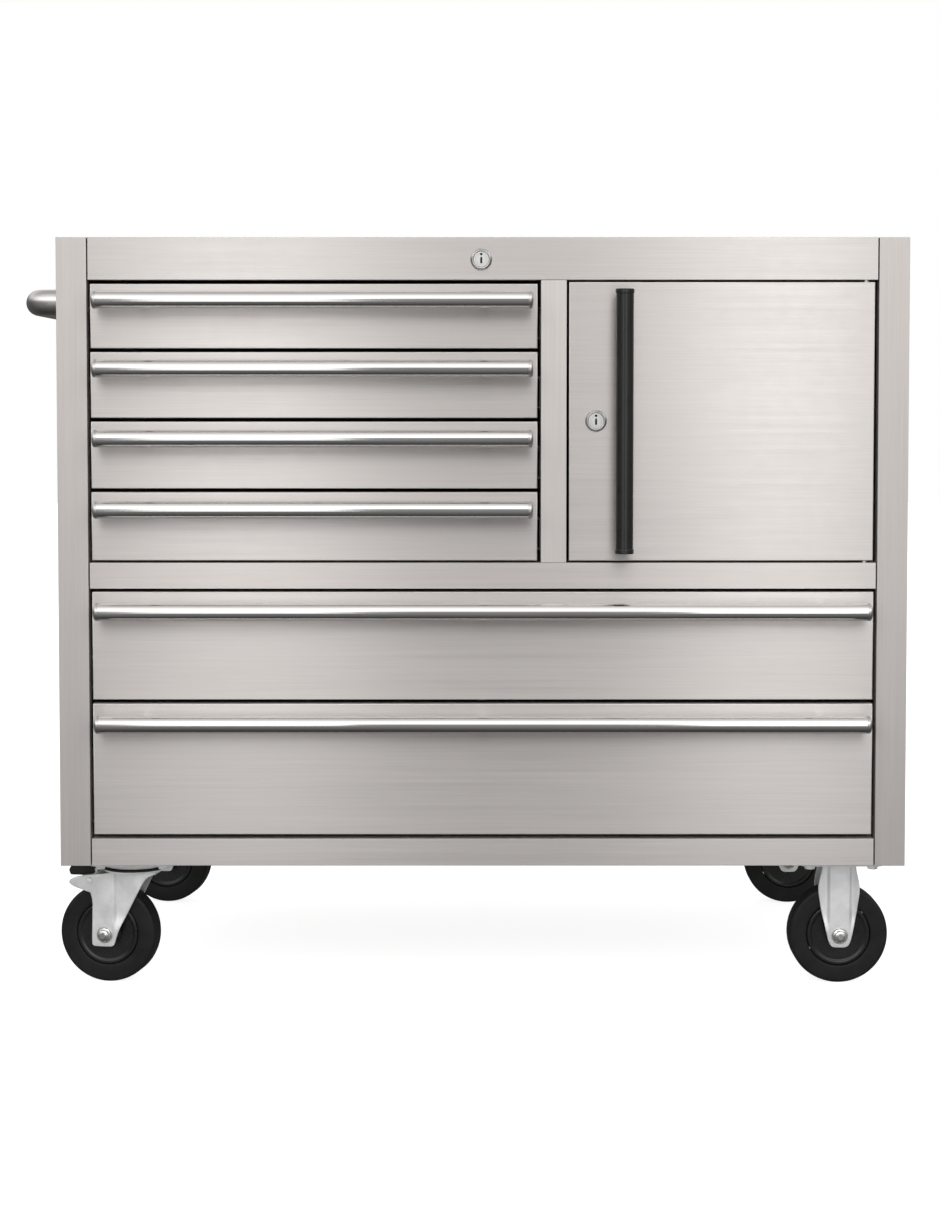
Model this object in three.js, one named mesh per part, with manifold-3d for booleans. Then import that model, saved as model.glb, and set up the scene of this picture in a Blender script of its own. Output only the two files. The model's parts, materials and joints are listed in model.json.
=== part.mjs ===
// Rolling tool chest: a brushed stainless cabinet with six drawers and a cupboard, on four casters.
// Millimetres, +Z up. X runs to the right, Y from the front plane to the back, Z up from the floor.

import * as THREE from 'three';
import { mergeVertices } from 'three/addons/utils/BufferGeometryUtils.js';
import Module from 'manifold-3d';

const wasm = await Module();
wasm.setup();

// ---------------------------------------------------------------- driving dimensions

// Cabinet shell
const WIDTH = 1067;
const DEPTH = 610;
const BODY_BOTTOM = 161;
const BODY_TOP = 952.5;
const SHEET = 1.5; // stainless outer panels
const INNER_SHEET = 1.2; // steel parts inside
const GAP = 0.3; // between pieces that touch
const POST_WIDTH = 38;
const POST_RETURN = 22;
const REAR_FLANGE = 20;
const SEAM = 1.5; // open joint between a post and the rails
const RAIL_RETURN = 25;
const TOP_RAIL_BOTTOM = 899.3;
const MIDDLE_RAIL_BOTTOM = 512.3;
const MIDDLE_RAIL_TOP = 545;
const BOTTOM_RAIL_TOP = 195.6;
const DIVIDER_LEFT = 72.8;
const DIVIDER_RIGHT = 104.9;
const INNER_FLANGE = 20; // folded edges of the top, the deck and the base

// Drawers, listed from the top down
const UPPER_FRONTS = [80.5, 82.5, 84, 86];
const LOWER_FRONTS = [136.2, 166.2];
const UPPER_TOP_GAP = 5;
const UPPER_GAP = 4.5;
const LOWER_TOP_GAP = 4;
const LOWER_GAP = 5;
const FRONT_SIDE_GAP = 4.4;
const FRONT_THICKNESS = 18;
const TRAY_LENGTH = 540;
const TRAY_BELOW_TOP = 14;
const TRAY_ABOVE_BOTTOM = 6;

// Drawer slides
const RAIL_HEIGHT = 40;
const RAIL_REACH = 10.3; // from the rail's web to the edge of its flanges
const RAIL_START = 26;
const RAIL_LENGTH = 534;
const RUNNER_HEIGHT = 34;
const RUNNER_CLEARANCE = 1.5;
const SLIDE_WIDTH = 12.3; // from the rail's web to the tray's side wall
const SLIDE_RISE = 26; // slide centre above the tray's underside
const UPRIGHT_WIDTH = 30;
const UPRIGHT_INSET = 8; // from the ends of the rails

// Pulls
const PULL_AXIS = 27; // in front of the fronts
const BAR_RADIUS = 11;
const BAR_END = 6; // from the ends of a drawer front to the ends of its bar
const BAR_ROUNDING = 3;
const BAR_BELOW_TOP_UPPER = 21;
const BAR_BELOW_TOP_LOWER = 23;
const POST_RADIUS = 5;
const POST_FROM_END = 60;
const DOOR_PULL_RADIUS = 11;
const DOOR_PULL_CAP_RADIUS = 11.7;
const DOOR_PULL_CAP = 6;
const DOOR_PULL_X = 176;
const DOOR_PULL_BOTTOM = 558;
const DOOR_PULL_TOP = 887;

// Door
const DOOR_LEFT = 107.9;
const DOOR_RIGHT = 490.3;
const DOOR_BOTTOM = 547.6;
const DOOR_TOP = 896.5;
const LINER_FLANGE = 5;
const PIVOT_FROM_EDGE = 10;
const PIVOT_DEPTH = 8;
const PIVOT_RADIUS = 4;
const PIVOT_HOLE = 4.6;
const PIVOT_OUTSIDE = 8; // length that stands out of the door
const PIVOT_LENGTH = 34;

// Locks
const BEZEL_RADIUS = 13.5;
const BEZEL_HEIGHT = 3.2;
const FACE_RADIUS = 10.5;
const FACE_RECESS = 2;
const BARREL_RADIUS = 9.5;
const BARREL_LENGTH = 22;
const PLUG_RADIUS = 7;
const CAM_THICKNESS = 3;
const CAM_WIDTH = 12;
const LOCK_CLEARANCE = 0.3;
const KEYHOLE = {
  slotHalf: 1.35,
  slotBottom: -5.2,
  slotTop: 3.4,
  dotRadius: 1.6,
  dotHeight: 6.5,
  dotDepth: 1.2,
};
const TOP_LOCK = { x: -2, z: 924.8, cam: 20 };
const DOOR_LOCK = { x: 141.8, z: 723.3, cam: 42 };

// Push handle
const HANDLE_RADIUS = 16.5;
const HANDLE_REACH = 38.5; // from the side panel to the tube's axis
const HANDLE_BEND = 26;
const HANDLE_Z = 874;
const HANDLE_FRONT = 75;
const HANDLE_BACK = 535;
const HANDLE_STEPS = 44;

// Casters
const WHEEL_RADIUS = 63.5;
const TREAD_WIDTH = 32;
const CORE_RADIUS = 41;
const CORE_GAP = 0.4;
const HUB_HALF_WIDTH = 18;
const BOSS_RADIUS = 13;
const AXLE_RADIUS = 6;
const AXLE_CLEARANCE = 0.3;
const LEG_THICKNESS = 3;
const LEG_INSIDE = 19; // from the wheel's mid-plane to a leg's inner face
const CASTER_INSET = 62; // from the front and the back plane to the wheel's mid-plane
const PLATE = { length: 104, width: 90, thickness: 4 };
const BOLT = { x: 40, y: 33, radius: 6.5, height: 4 };
const TRAIL = 33;
const SWIVEL_REST = THREE.MathUtils.degToRad(-10); // the swivel forks stand a little turned
const CROWN_BOTTOM = 141;
const CROWN_TOP = 144;
const KINGPIN = { radius: 6, headRadius: 9, headHeight: 6.4, clearance: 0.6 };
const RACE = { lowRadius: 30, highRadius: 38, rise: 7 }; // cone under the plate of a swivel caster
const CUP = { innerRadius: 30, outerRadius: 31, rimRadius: 42.5, rimBottom: 3.5, rimTop: 6 };
const WASHER = { radius: 11, thickness: 2, sides: 16 };
const HEXAGON = { radius: 9, start: 1, end: 7.5 }; // from the face of the leg
const PEDAL_PIVOT = { x: -20, z: 132.6 }; // x from the axle
const RIVET_RADIUS = 2.6;
const RIVET_HEAD = 1.5;
const CUTTER_REACH = 30; // half the length of the tools that cut through both legs
const SWIVEL_CASTERS = [
  { name: 'left_front', x: -448, y: CASTER_INSET },
  { name: 'left_rear', x: -435.5, y: DEPTH - CASTER_INSET },
];
const RIGID_CASTERS = [
  { name: 'right_front', x: 457.5, y: CASTER_INSET },
  { name: 'right_rear', x: 457.5, y: DEPTH - CASTER_INSET },
];

// Facets around round parts
const WHEEL_SIDES = 32;
const BAR_SIDES = 16;
const LOCK_SIDES = 20;
const SMALL_SIDES = 12;

// Planes worked out from the dimensions above
const SIDE = WIDTH / 2;
const OPENING = SIDE - POST_WIDTH;
const RAIL_END = OPENING - SEAM;
const SKIN_INSIDE = SIDE - SHEET - GAP;
const BACK_FACE = DEPTH - SHEET - GAP;
const BACK_INSIDE = BACK_FACE - INNER_SHEET - GAP;
const SLIDE_FACE = OPENING + 0.8; // open side of the webs of the left and right rails
const DIVIDER_SLIDE_FACE = DIVIDER_LEFT - INNER_SHEET;

// ---------------------------------------------------------------- materials

function metal(color, roughness, metalness = 1) {
  return new THREE.MeshStandardMaterial({ color, roughness, metalness });
}

const stainless = metal(0xc9c6c3, 0.38);
const stainlessFront = metal(0xd0cdca, 0.36);
const polishedBar = metal(0xd9d8d6, 0.25);
const galvanised = metal(0xa9adb0, 0.5);
const zincPlate = metal(0xc4c7c9, 0.35);
const lockChrome = metal(0xd6d6d6, 0.2);
const blackSatin = metal(0x161616, 0.4, 0.4);
const treadRubber = metal(0x1b1b1b, 0.65, 0);
const coreResin = metal(0x202020, 0.45, 0);
const pedalPlastic = metal(0x151515, 0.55, 0);

// ---------------------------------------------------------------- geometry helpers

function toSolid(geometry) {
  const bare = geometry.clone();
  bare.deleteAttribute('normal');
  bare.deleteAttribute('uv');
  const merged = mergeVertices(bare);
  return new wasm.Manifold(new wasm.Mesh({
    numProp: 3,
    vertProperties: merged.attributes.position.array,
    triVerts: new Uint32Array(merged.index.array),
  }));
}

function toGeometry(solid) {
  const mesh = solid.getMesh();
  const geometry = new THREE.BufferGeometry();
  geometry.setAttribute('position', new THREE.BufferAttribute(mesh.vertProperties, 3));
  geometry.setIndex(new THREE.BufferAttribute(mesh.triVerts, 1));
  geometry.computeVertexNormals();
  return geometry;
}

function join(first, ...others) {
  return toGeometry(others.reduce((solid, other) => solid.add(toSolid(other)), toSolid(first)));
}

function cut(first, ...tools) {
  return toGeometry(tools.reduce((solid, tool) => solid.subtract(toSolid(tool)), toSolid(first)));
}

// Box between two opposite corners.
function block(low, high) {
  const [dx, dy, dz] = high.map((value, i) => value - low[i]);
  const centre = high.map((value, i) => (value + low[i]) / 2);
  return new THREE.BoxGeometry(dx, dy, dz).translate(...centre);
}

// Closed section of a folded sheet. The points follow one face, and the thickness lies to their left.
function foldedSheet(points, thickness) {
  const face = points.map(([a, b]) => new THREE.Vector2(a, b));
  const normals = face.slice(1).map((end, i) => {
    const run = end.clone().sub(face[i]).normalize();
    return new THREE.Vector2(-run.y, run.x);
  });
  const otherFace = face.map((corner, i) => {
    const before = normals[Math.max(i - 1, 0)];
    const after = normals[Math.min(i, normals.length - 1)];
    const mitre = before.clone().add(after);
    return corner.clone().addScaledVector(mitre, (2 * thickness) / mitre.lengthSq());
  });
  return new THREE.Shape([...face, ...otherFace.reverse()]);
}

function extrude(shape, length, curveSegments = 6) {
  return new THREE.ExtrudeGeometry(shape, { depth: length, bevelEnabled: false, curveSegments });
}

// A section drawn in Y and Z, extruded along X, centred on x = 0.
function extrudeAlongX(shape, length) {
  const axes = new THREE.Matrix4().makeBasis(
    new THREE.Vector3(0, 1, 0),
    new THREE.Vector3(0, 0, 1),
    new THREE.Vector3(1, 0, 0),
  );
  return extrude(shape, length).applyMatrix4(axes).translate(-length / 2, 0, 0);
}

// A section drawn in X and Z, extruded along Y from y = 0.
function extrudeAlongY(shape, length, curveSegments) {
  const axes = new THREE.Matrix4().makeBasis(
    new THREE.Vector3(1, 0, 0),
    new THREE.Vector3(0, 0, 1),
    new THREE.Vector3(0, -1, 0),
  );
  return extrude(shape, length, curveSegments).applyMatrix4(axes).translate(0, length, 0);
}

// Cylinder along Y between two values of y.
function rod(radius, from, to, sides = SMALL_SIDES) {
  return new THREE.CylinderGeometry(radius, radius, to - from, sides).translate(0, (from + to) / 2, 0);
}

// Solid of revolution about Y from [radius, y] points that run upwards on the outside.
function lathe(points, sides, startAngle = 0) {
  return new THREE.LatheGeometry(points.map(([r, y]) => new THREE.Vector2(r, y)), sides, startAngle);
}

// The same, about Z.
function latheAboutZ(points, sides) {
  return lathe(points, sides).rotateX(Math.PI / 2);
}

// Open box: outer corners, wall thickness, and the side that stays open as [axis, end].
function pan(low, high, wall, [axis, end]) {
  const innerLow = low.map((value) => value + wall);
  const innerHigh = high.map((value) => value - wall);
  if (end < 0) {
    innerLow[axis] = low[axis] - 1;
  } else {
    innerHigh[axis] = high[axis] + 1;
  }
  return cut(block(low, high), block(innerLow, innerHigh));
}

function part(name, geometry, material, position = [0, 0, 0]) {
  const mesh = new THREE.Mesh(geometry, material);
  mesh.name = name;
  mesh.position.set(...position);
  return mesh;
}

function groupOf(meshes, position = [0, 0, 0]) {
  const group = new THREE.Group();
  group.add(...meshes);
  group.position.set(...position);
  return group;
}

// ---------------------------------------------------------------- drawer layout

function stackFronts(heights, top, gap, wide) {
  let upperEdge = top;
  return heights.map((height) => {
    const front = { top: upperEdge, bottom: upperEdge - height, wide };
    upperEdge = front.bottom - gap;
    return front;
  });
}

const upperDrawers = stackFronts(UPPER_FRONTS, TOP_RAIL_BOTTOM - UPPER_TOP_GAP, UPPER_GAP, false);
const lowerDrawers = stackFronts(LOWER_FRONTS, MIDDLE_RAIL_BOTTOM - LOWER_TOP_GAP, LOWER_GAP, true);
const drawers = [...upperDrawers, ...lowerDrawers];

function slideHeight(drawer) {
  return drawer.bottom + TRAY_ABOVE_BOTTOM + SLIDE_RISE;
}

// ---------------------------------------------------------------- cabinet

// Side panel with its front post and rear flange folded from one sheet; side is -1 or 1.
function sidePanel(side) {
  const path = [
    [side * OPENING, POST_RETURN],
    [side * OPENING, 0],
    [side * SIDE, 0],
    [side * SIDE, DEPTH],
    [side * (SIDE - REAR_FLANGE), DEPTH],
  ];
  const section = foldedSheet(side < 0 ? path.reverse() : path, SHEET);
  const height = BODY_TOP - BODY_BOTTOM;
  const underTopPanel = block(
    [side * OPENING - 2 * SHEET, SHEET, height - SHEET - GAP],
    [side * OPENING + 2 * SHEET, POST_RETURN + 1, height + 1],
  );
  return cut(extrude(section, height), underTopPanel);
}

function backPanel() {
  return block(
    [-SKIN_INSIDE, BACK_FACE - INNER_SHEET, BODY_BOTTOM + SHEET],
    [SKIN_INSIDE, BACK_FACE, BODY_TOP - SHEET - GAP],
  );
}

// Flat top with its two side edges folded down inside the side panels.
function topPanel() {
  const section = foldedSheet([
    [SKIN_INSIDE, BODY_TOP - INNER_FLANGE],
    [SKIN_INSIDE, BODY_TOP],
    [-SKIN_INSIDE, BODY_TOP],
    [-SKIN_INSIDE, BODY_TOP - INNER_FLANGE],
  ], SHEET);
  return extrudeAlongY(section, BACK_INSIDE - SHEET - GAP);
}

// Channel with its open side to the back; a rail without an upper return stops under the top panel.
function rail(bottom, top, upperReturn) {
  const path = [[RAIL_RETURN, bottom], [0, bottom], [0, top]];
  if (upperReturn) {
    path.push([RAIL_RETURN, top]);
  }
  return extrudeAlongX(foldedSheet(path.reverse(), SHEET), 2 * RAIL_END);
}

function pivotHole(z) {
  return new THREE.CylinderGeometry(PIVOT_HOLE, PIVOT_HOLE, 4 * SHEET, SMALL_SIDES)
    .rotateX(Math.PI / 2)
    .translate(DOOR_RIGHT - PIVOT_FROM_EDGE, PIVOT_DEPTH, z);
}

function barrelHole(lock) {
  return rod(BARREL_RADIUS + LOCK_CLEARANCE, -4 * SHEET, 4 * SHEET, LOCK_SIDES)
    .translate(lock.x, 0, lock.z);
}

function topRail() {
  const channel = rail(TOP_RAIL_BOTTOM, BODY_TOP, false);
  return cut(channel, barrelHole(TOP_LOCK), pivotHole(TOP_RAIL_BOTTOM));
}

function middleRail() {
  return cut(rail(MIDDLE_RAIL_BOTTOM, MIDDLE_RAIL_TOP, true), pivotHole(MIDDLE_RAIL_TOP));
}

// Sheet between the rails and the back panel, with its front and back edges folded by INNER_FLANGE.
function floorSheet(left, z, foldUp) {
  const fold = foldUp ? INNER_FLANGE : -INNER_FLANGE;
  const path = [
    [RAIL_RETURN + 1, z + fold],
    [RAIL_RETURN + 1, z],
    [BACK_INSIDE, z],
    [BACK_INSIDE, z + fold],
  ];
  const section = foldedSheet(foldUp ? path : path.reverse(), INNER_SHEET);
  return extrudeAlongX(section, SKIN_INSIDE - left).translate((SKIN_INSIDE + left) / 2, 0, 0);
}

// Outer member of a drawer slide: a channel along Y that opens towards +X at x = 0.
function slideRail() {
  const section = foldedSheet([
    [RAIL_REACH, RAIL_HEIGHT / 2],
    [-INNER_SHEET, RAIL_HEIGHT / 2],
    [-INNER_SHEET, -RAIL_HEIGHT / 2],
    [RAIL_REACH, -RAIL_HEIGHT / 2],
  ], INNER_SHEET);
  return extrudeAlongY(section, RAIL_LENGTH).translate(0, RAIL_START, 0);
}

// Two uprights that carry the slide rails of one side, opening towards +X at x = 0.
function slideRack(rackDrawers, top) {
  const depth = SKIN_INSIDE - SLIDE_FACE;
  const bottom = BODY_BOTTOM + 2 * SHEET;
  const section = foldedSheet([
    [-depth, 0],
    [-INNER_SHEET, 0],
    [-INNER_SHEET, UPRIGHT_WIDTH],
    [-depth, UPRIGHT_WIDTH],
  ], INNER_SHEET);
  const upright = extrude(section, top - bottom).translate(0, 0, bottom);
  const frontUpright = upright.clone().translate(0, RAIL_START + UPRIGHT_INSET, 0);
  const rearStart = RAIL_START + RAIL_LENGTH - UPRIGHT_INSET - UPRIGHT_WIDTH;
  const rearUpright = upright.clone().translate(0, rearStart, 0);
  const rails = rackDrawers.map((drawer) => slideRail().translate(-GAP, 0, slideHeight(drawer)));
  return join(frontUpright, rearUpright, ...rails);
}

// Stile and partition folded from one sheet, with the rails of the upper drawers on its left face.
function centreDivider() {
  const section = foldedSheet([
    [DIVIDER_LEFT + INNER_FLANGE, BACK_INSIDE],
    [DIVIDER_LEFT, BACK_INSIDE],
    [DIVIDER_LEFT, 0],
    [DIVIDER_RIGHT, 0],
    [DIVIDER_RIGHT, POST_RETURN],
  ], SHEET);
  const bottom = MIDDLE_RAIL_TOP + GAP;
  const top = BODY_TOP - SHEET - GAP;
  const sheet = extrude(section, top - bottom).translate(0, 0, bottom);
  const behindTopRail = block(
    [DIVIDER_LEFT - 1, -1, TOP_RAIL_BOTTOM - GAP],
    [DIVIDER_RIGHT + 1, RAIL_RETURN + 1, BODY_TOP],
  );
  const rails = upperDrawers.map((drawer) => slideRail()
    .rotateZ(Math.PI)
    .translate(DIVIDER_SLIDE_FACE + GAP, 2 * RAIL_START + RAIL_LENGTH, slideHeight(drawer)));
  return join(cut(sheet, behindTopRail), ...rails);
}

// ---------------------------------------------------------------- push handle

function pushHandle() {
  const axisX = -SIDE - HANDLE_REACH;
  const point = (x, y) => new THREE.Vector3(x, y, HANDLE_Z);
  const path = new THREE.CurvePath();
  path.add(new THREE.LineCurve3(
    point(-SIDE - GAP, HANDLE_FRONT),
    point(axisX + HANDLE_BEND, HANDLE_FRONT),
  ));
  path.add(new THREE.QuadraticBezierCurve3(
    point(axisX + HANDLE_BEND, HANDLE_FRONT),
    point(axisX, HANDLE_FRONT),
    point(axisX, HANDLE_FRONT + HANDLE_BEND),
  ));
  path.add(new THREE.LineCurve3(
    point(axisX, HANDLE_FRONT + HANDLE_BEND),
    point(axisX, HANDLE_BACK - HANDLE_BEND),
  ));
  path.add(new THREE.QuadraticBezierCurve3(
    point(axisX, HANDLE_BACK - HANDLE_BEND),
    point(axisX, HANDLE_BACK),
    point(axisX + HANDLE_BEND, HANDLE_BACK),
  ));
  path.add(new THREE.LineCurve3(
    point(axisX + HANDLE_BEND, HANDLE_BACK),
    point(-SIDE - GAP, HANDLE_BACK),
  ));
  const circle = new THREE.Shape().absarc(0, 0, HANDLE_RADIUS, 0, 2 * Math.PI);
  return new THREE.ExtrudeGeometry(circle, {
    steps: HANDLE_STEPS,
    extrudePath: path,
    curveSegments: SMALL_SIDES / 2,
  });
}

// ---------------------------------------------------------------- locks

// Bezel and barrel of a cam lock, on the Y axis, with the bezel in front of y = 0.
function lockHousing() {
  const recess = -BEZEL_HEIGHT + FACE_RECESS;
  return lathe([
    [PLUG_RADIUS + LOCK_CLEARANCE, recess],
    [FACE_RADIUS + LOCK_CLEARANCE, recess],
    [FACE_RADIUS + LOCK_CLEARANCE, -BEZEL_HEIGHT],
    [BEZEL_RADIUS - 1, -BEZEL_HEIGHT],
    [BEZEL_RADIUS, -BEZEL_HEIGHT + 1],
    [BEZEL_RADIUS, -GAP],
    [BARREL_RADIUS, -GAP],
    [BARREL_RADIUS, BARREL_LENGTH],
    [PLUG_RADIUS + LOCK_CLEARANCE, BARREL_LENGTH],
    [PLUG_RADIUS + LOCK_CLEARANCE, recess],
  ], LOCK_SIDES);
}

// Turning plug with its keyhole in front and its cam behind the barrel; the cam points down.
function lockPlug(camLength) {
  const faceBack = -BEZEL_HEIGHT + FACE_RECESS - LOCK_CLEARANCE;
  const camStart = BARREL_LENGTH + 1;
  const body = lathe([
    [0, -BEZEL_HEIGHT],
    [FACE_RADIUS, -BEZEL_HEIGHT],
    [FACE_RADIUS, faceBack],
    [PLUG_RADIUS, faceBack],
    [PLUG_RADIUS, camStart + CAM_THICKNESS],
    [0, camStart + CAM_THICKNESS],
  ], LOCK_SIDES);
  const cam = block(
    [-CAM_WIDTH / 2, camStart, -camLength],
    [CAM_WIDTH / 2, camStart + CAM_THICKNESS, CAM_WIDTH / 2],
  );
  const slot = block(
    [-KEYHOLE.slotHalf, -BEZEL_HEIGHT - 1, KEYHOLE.slotBottom],
    [KEYHOLE.slotHalf, 0, KEYHOLE.slotTop],
  );
  const dot = rod(KEYHOLE.dotRadius, -BEZEL_HEIGHT - 1, -BEZEL_HEIGHT + KEYHOLE.dotDepth)
    .translate(0, 0, KEYHOLE.dotHeight);
  return cut(join(body, cam), join(slot, dot));
}

// ---------------------------------------------------------------- door

function doorShell() {
  const shell = pan(
    [DOOR_LEFT, 0, DOOR_BOTTOM],
    [DOOR_RIGHT, FRONT_THICKNESS, DOOR_TOP],
    SHEET,
    [1, 1],
  );
  return cut(shell, barrelHole(DOOR_LOCK), pivotHole(DOOR_BOTTOM), pivotHole(DOOR_TOP));
}

// Shallow pan that closes the back of the door, inside the edges of the shell.
function doorLiner() {
  const inset = SHEET + GAP;
  const liner = pan(
    [DOOR_LEFT + inset, FRONT_THICKNESS - LINER_FLANGE, DOOR_BOTTOM + inset],
    [DOOR_RIGHT - inset, FRONT_THICKNESS, DOOR_TOP - inset],
    INNER_SHEET,
    [1, -1],
  );
  return cut(liner, barrelHole(DOOR_LOCK).translate(0, FRONT_THICKNESS, 0));
}

// Vertical pin on the Z axis, with chamfered ends.
function pivotPin() {
  const half = PIVOT_LENGTH / 2;
  return latheAboutZ([
    [0, -half],
    [PIVOT_RADIUS - 1, -half],
    [PIVOT_RADIUS, -half + 1],
    [PIVOT_RADIUS, half - 1],
    [PIVOT_RADIUS - 1, half],
    [0, half],
  ], SMALL_SIDES);
}

// ---------------------------------------------------------------- pulls

// Half section of a round bar with rounded ends, as [radius, distance along the axis] points.
function barSection(length, radius, rounding) {
  const steps = 2;
  const end = [];
  for (let i = 0; i <= steps; i += 1) {
    const angle = (i / steps) * (Math.PI / 2);
    end.push([radius - rounding * (1 - Math.sin(angle)), length / 2 - rounding * (1 - Math.cos(angle))]);
  }
  const lower = end.map(([r, y]) => [r, -y]);
  const upper = [...end].reverse();
  return [[0, -length / 2], ...lower, ...upper, [0, length / 2]];
}

// Bar along X on the pull axis, with posts to the front at the given places along it.
function drawerPull(length, postPlaces) {
  const bar = lathe(barSection(length, BAR_RADIUS, BAR_ROUNDING), BAR_SIDES)
    .rotateZ(Math.PI / 2)
    .translate(0, -PULL_AXIS, 0);
  const posts = postPlaces.map((x) => rod(POST_RADIUS, -PULL_AXIS, -GAP).translate(x, 0, 0));
  return join(bar, ...posts);
}

// Tube along Z on the pull axis, with a wider cap at each end and two posts.
function doorPull() {
  const length = DOOR_PULL_TOP - DOOR_PULL_BOTTOM;
  const half = length / 2;
  const tube = latheAboutZ([
    [0, -half],
    [DOOR_PULL_CAP_RADIUS - 1, -half],
    [DOOR_PULL_CAP_RADIUS, -half + 1],
    [DOOR_PULL_CAP_RADIUS, -half + DOOR_PULL_CAP],
    [DOOR_PULL_RADIUS, -half + DOOR_PULL_CAP],
    [DOOR_PULL_RADIUS, half - DOOR_PULL_CAP],
    [DOOR_PULL_CAP_RADIUS, half - DOOR_PULL_CAP],
    [DOOR_PULL_CAP_RADIUS, half - 1],
    [DOOR_PULL_CAP_RADIUS - 1, half],
    [0, half],
  ], BAR_SIDES).translate(0, -PULL_AXIS, 0);
  const posts = [-1, 1].map((end) => rod(POST_RADIUS, -PULL_AXIS, -GAP)
    .translate(0, 0, end * (half - POST_FROM_END)));
  return join(tube, ...posts);
}

// ---------------------------------------------------------------- drawers

// Left and right edges of a drawer front.
function frontEdges(wide) {
  const rightOpening = wide ? OPENING : DIVIDER_LEFT;
  return [-OPENING + FRONT_SIDE_GAP, rightOpening - FRONT_SIDE_GAP];
}

// Inner slide member on the side wall of a tray, a channel that opens towards -X.
function runner() {
  const reach = SLIDE_WIDTH - RUNNER_CLEARANCE;
  const section = foldedSheet([
    [-reach, -RUNNER_HEIGHT / 2],
    [GAP, -RUNNER_HEIGHT / 2],
    [GAP, RUNNER_HEIGHT / 2],
    [-reach, RUNNER_HEIGHT / 2],
  ], INNER_SHEET);
  return extrudeAlongY(section, RAIL_LENGTH).translate(0, RAIL_START, 0);
}

function tray(drawer) {
  const left = -SLIDE_FACE + SLIDE_WIDTH;
  const right = drawer.wide ? -left : DIVIDER_SLIDE_FACE - SLIDE_WIDTH;
  const front = FRONT_THICKNESS + GAP;
  const box = pan(
    [left, front, drawer.bottom + TRAY_ABOVE_BOTTOM],
    [right, front + TRAY_LENGTH, drawer.top - TRAY_BELOW_TOP],
    INNER_SHEET,
    [2, 1],
  );
  const height = slideHeight(drawer);
  const leftRunner = runner().translate(left, 0, height);
  const rightRunner = runner()
    .rotateZ(Math.PI)
    .translate(right, 2 * RAIL_START + RAIL_LENGTH, height);
  return join(box, leftRunner, rightRunner);
}

function drawerParts(drawer, number) {
  const [left, right] = frontEdges(drawer.wide);
  const front = pan([left, 0, drawer.bottom], [right, FRONT_THICKNESS, drawer.top], SHEET, [1, 1]);
  const barLength = right - left - 2 * BAR_END;
  const postOffset = barLength / 2 - POST_FROM_END;
  const postPlaces = drawer.wide ? [-postOffset, 0, postOffset] : [-postOffset, postOffset];
  const barZ = drawer.top - (drawer.wide ? BAR_BELOW_TOP_LOWER : BAR_BELOW_TOP_UPPER);
  const barPlace = [(left + right) / 2, 0, barZ];
  return groupOf([
    part(`drawer_${number}_front`, front, stainlessFront),
    part(`drawer_${number}_tray`, tray(drawer), galvanised),
    part(`drawer_${number}_pull`, drawerPull(barLength, postPlaces), polishedBar, barPlace),
  ]);
}

// ---------------------------------------------------------------- casters
// Each caster is drawn with its plate's centre on the Z axis and the floor at z = 0.

// Mounting plate with the heads of its four bolts underneath.
function casterPlate() {
  const top = BODY_BOTTOM - GAP;
  const plate = block(
    [-PLATE.length / 2, -PLATE.width / 2, top - PLATE.thickness],
    [PLATE.length / 2, PLATE.width / 2, top],
  );
  const heads = [[-1, -1], [1, -1], [1, 1], [-1, 1]].map(([sx, sy]) => {
    const head = new THREE.CylinderGeometry(BOLT.radius, BOLT.radius, BOLT.height + 1, 6);
    const z = top - PLATE.thickness - BOLT.height / 2 + 0.5;
    return head.rotateX(Math.PI / 2).translate(sx * BOLT.x, sy * BOLT.y, z);
  });
  return join(plate, ...heads);
}

// Plate of a swivel caster, with the upper race and the kingpin that holds the fork.
function swivelPlate() {
  const plateBottom = BODY_BOTTOM - GAP - PLATE.thickness;
  const headTop = CROWN_BOTTOM - KINGPIN.clearance;
  const race = latheAboutZ([
    [0, CROWN_TOP + RACE.rise],
    [RACE.lowRadius, CROWN_TOP + RACE.rise],
    [RACE.highRadius, plateBottom + 1],
    [0, plateBottom + 1],
  ], LOCK_SIDES);
  const kingpin = latheAboutZ([
    [0, headTop - KINGPIN.headHeight],
    [KINGPIN.headRadius, headTop - KINGPIN.headHeight],
    [KINGPIN.headRadius, headTop],
    [KINGPIN.radius, headTop],
    [KINGPIN.radius, CROWN_TOP + RACE.rise + 1],
    [0, CROWN_TOP + RACE.rise + 1],
  ], SMALL_SIDES);
  return join(casterPlate(), race, kingpin);
}

// Tool that cuts through both legs, on the Y axis.
function throughHole(radius) {
  return rod(radius, -CUTTER_REACH, CUTTER_REACH);
}

function legPair(outline, tools) {
  const leg = extrudeAlongY(outline, LEG_THICKNESS, 4);
  const front = leg.clone().translate(0, -LEG_INSIDE - LEG_THICKNESS, 0);
  const rear = leg.translate(0, LEG_INSIDE, 0);
  return [cut(front, ...tools), cut(rear, ...tools)];
}

// Outline of a swivel leg: x from the axle, z from the floor, with the brake ear at the left.
function swivelLegOutline() {
  const outline = new THREE.Shape();
  outline.moveTo(-17, 54);
  outline.quadraticCurveTo(-17, 48.4, -11, 48.4);
  outline.lineTo(6, 48.4);
  outline.quadraticCurveTo(11, 48.4, 13, 53.5);
  outline.lineTo(19, 72);
  outline.lineTo(45, 123);
  outline.quadraticCurveTo(52, 136, 64, 141.5);
  outline.lineTo(64, CROWN_TOP);
  outline.lineTo(-14, CROWN_TOP);
  outline.lineTo(-40, 139.5);
  outline.quadraticCurveTo(-48, 137, -48, 132);
  outline.quadraticCurveTo(-48, 127.5, -43, 126);
  outline.lineTo(-22, 118.6);
  outline.quadraticCurveTo(-16, 116, -16, 107);
  return outline;
}

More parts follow.
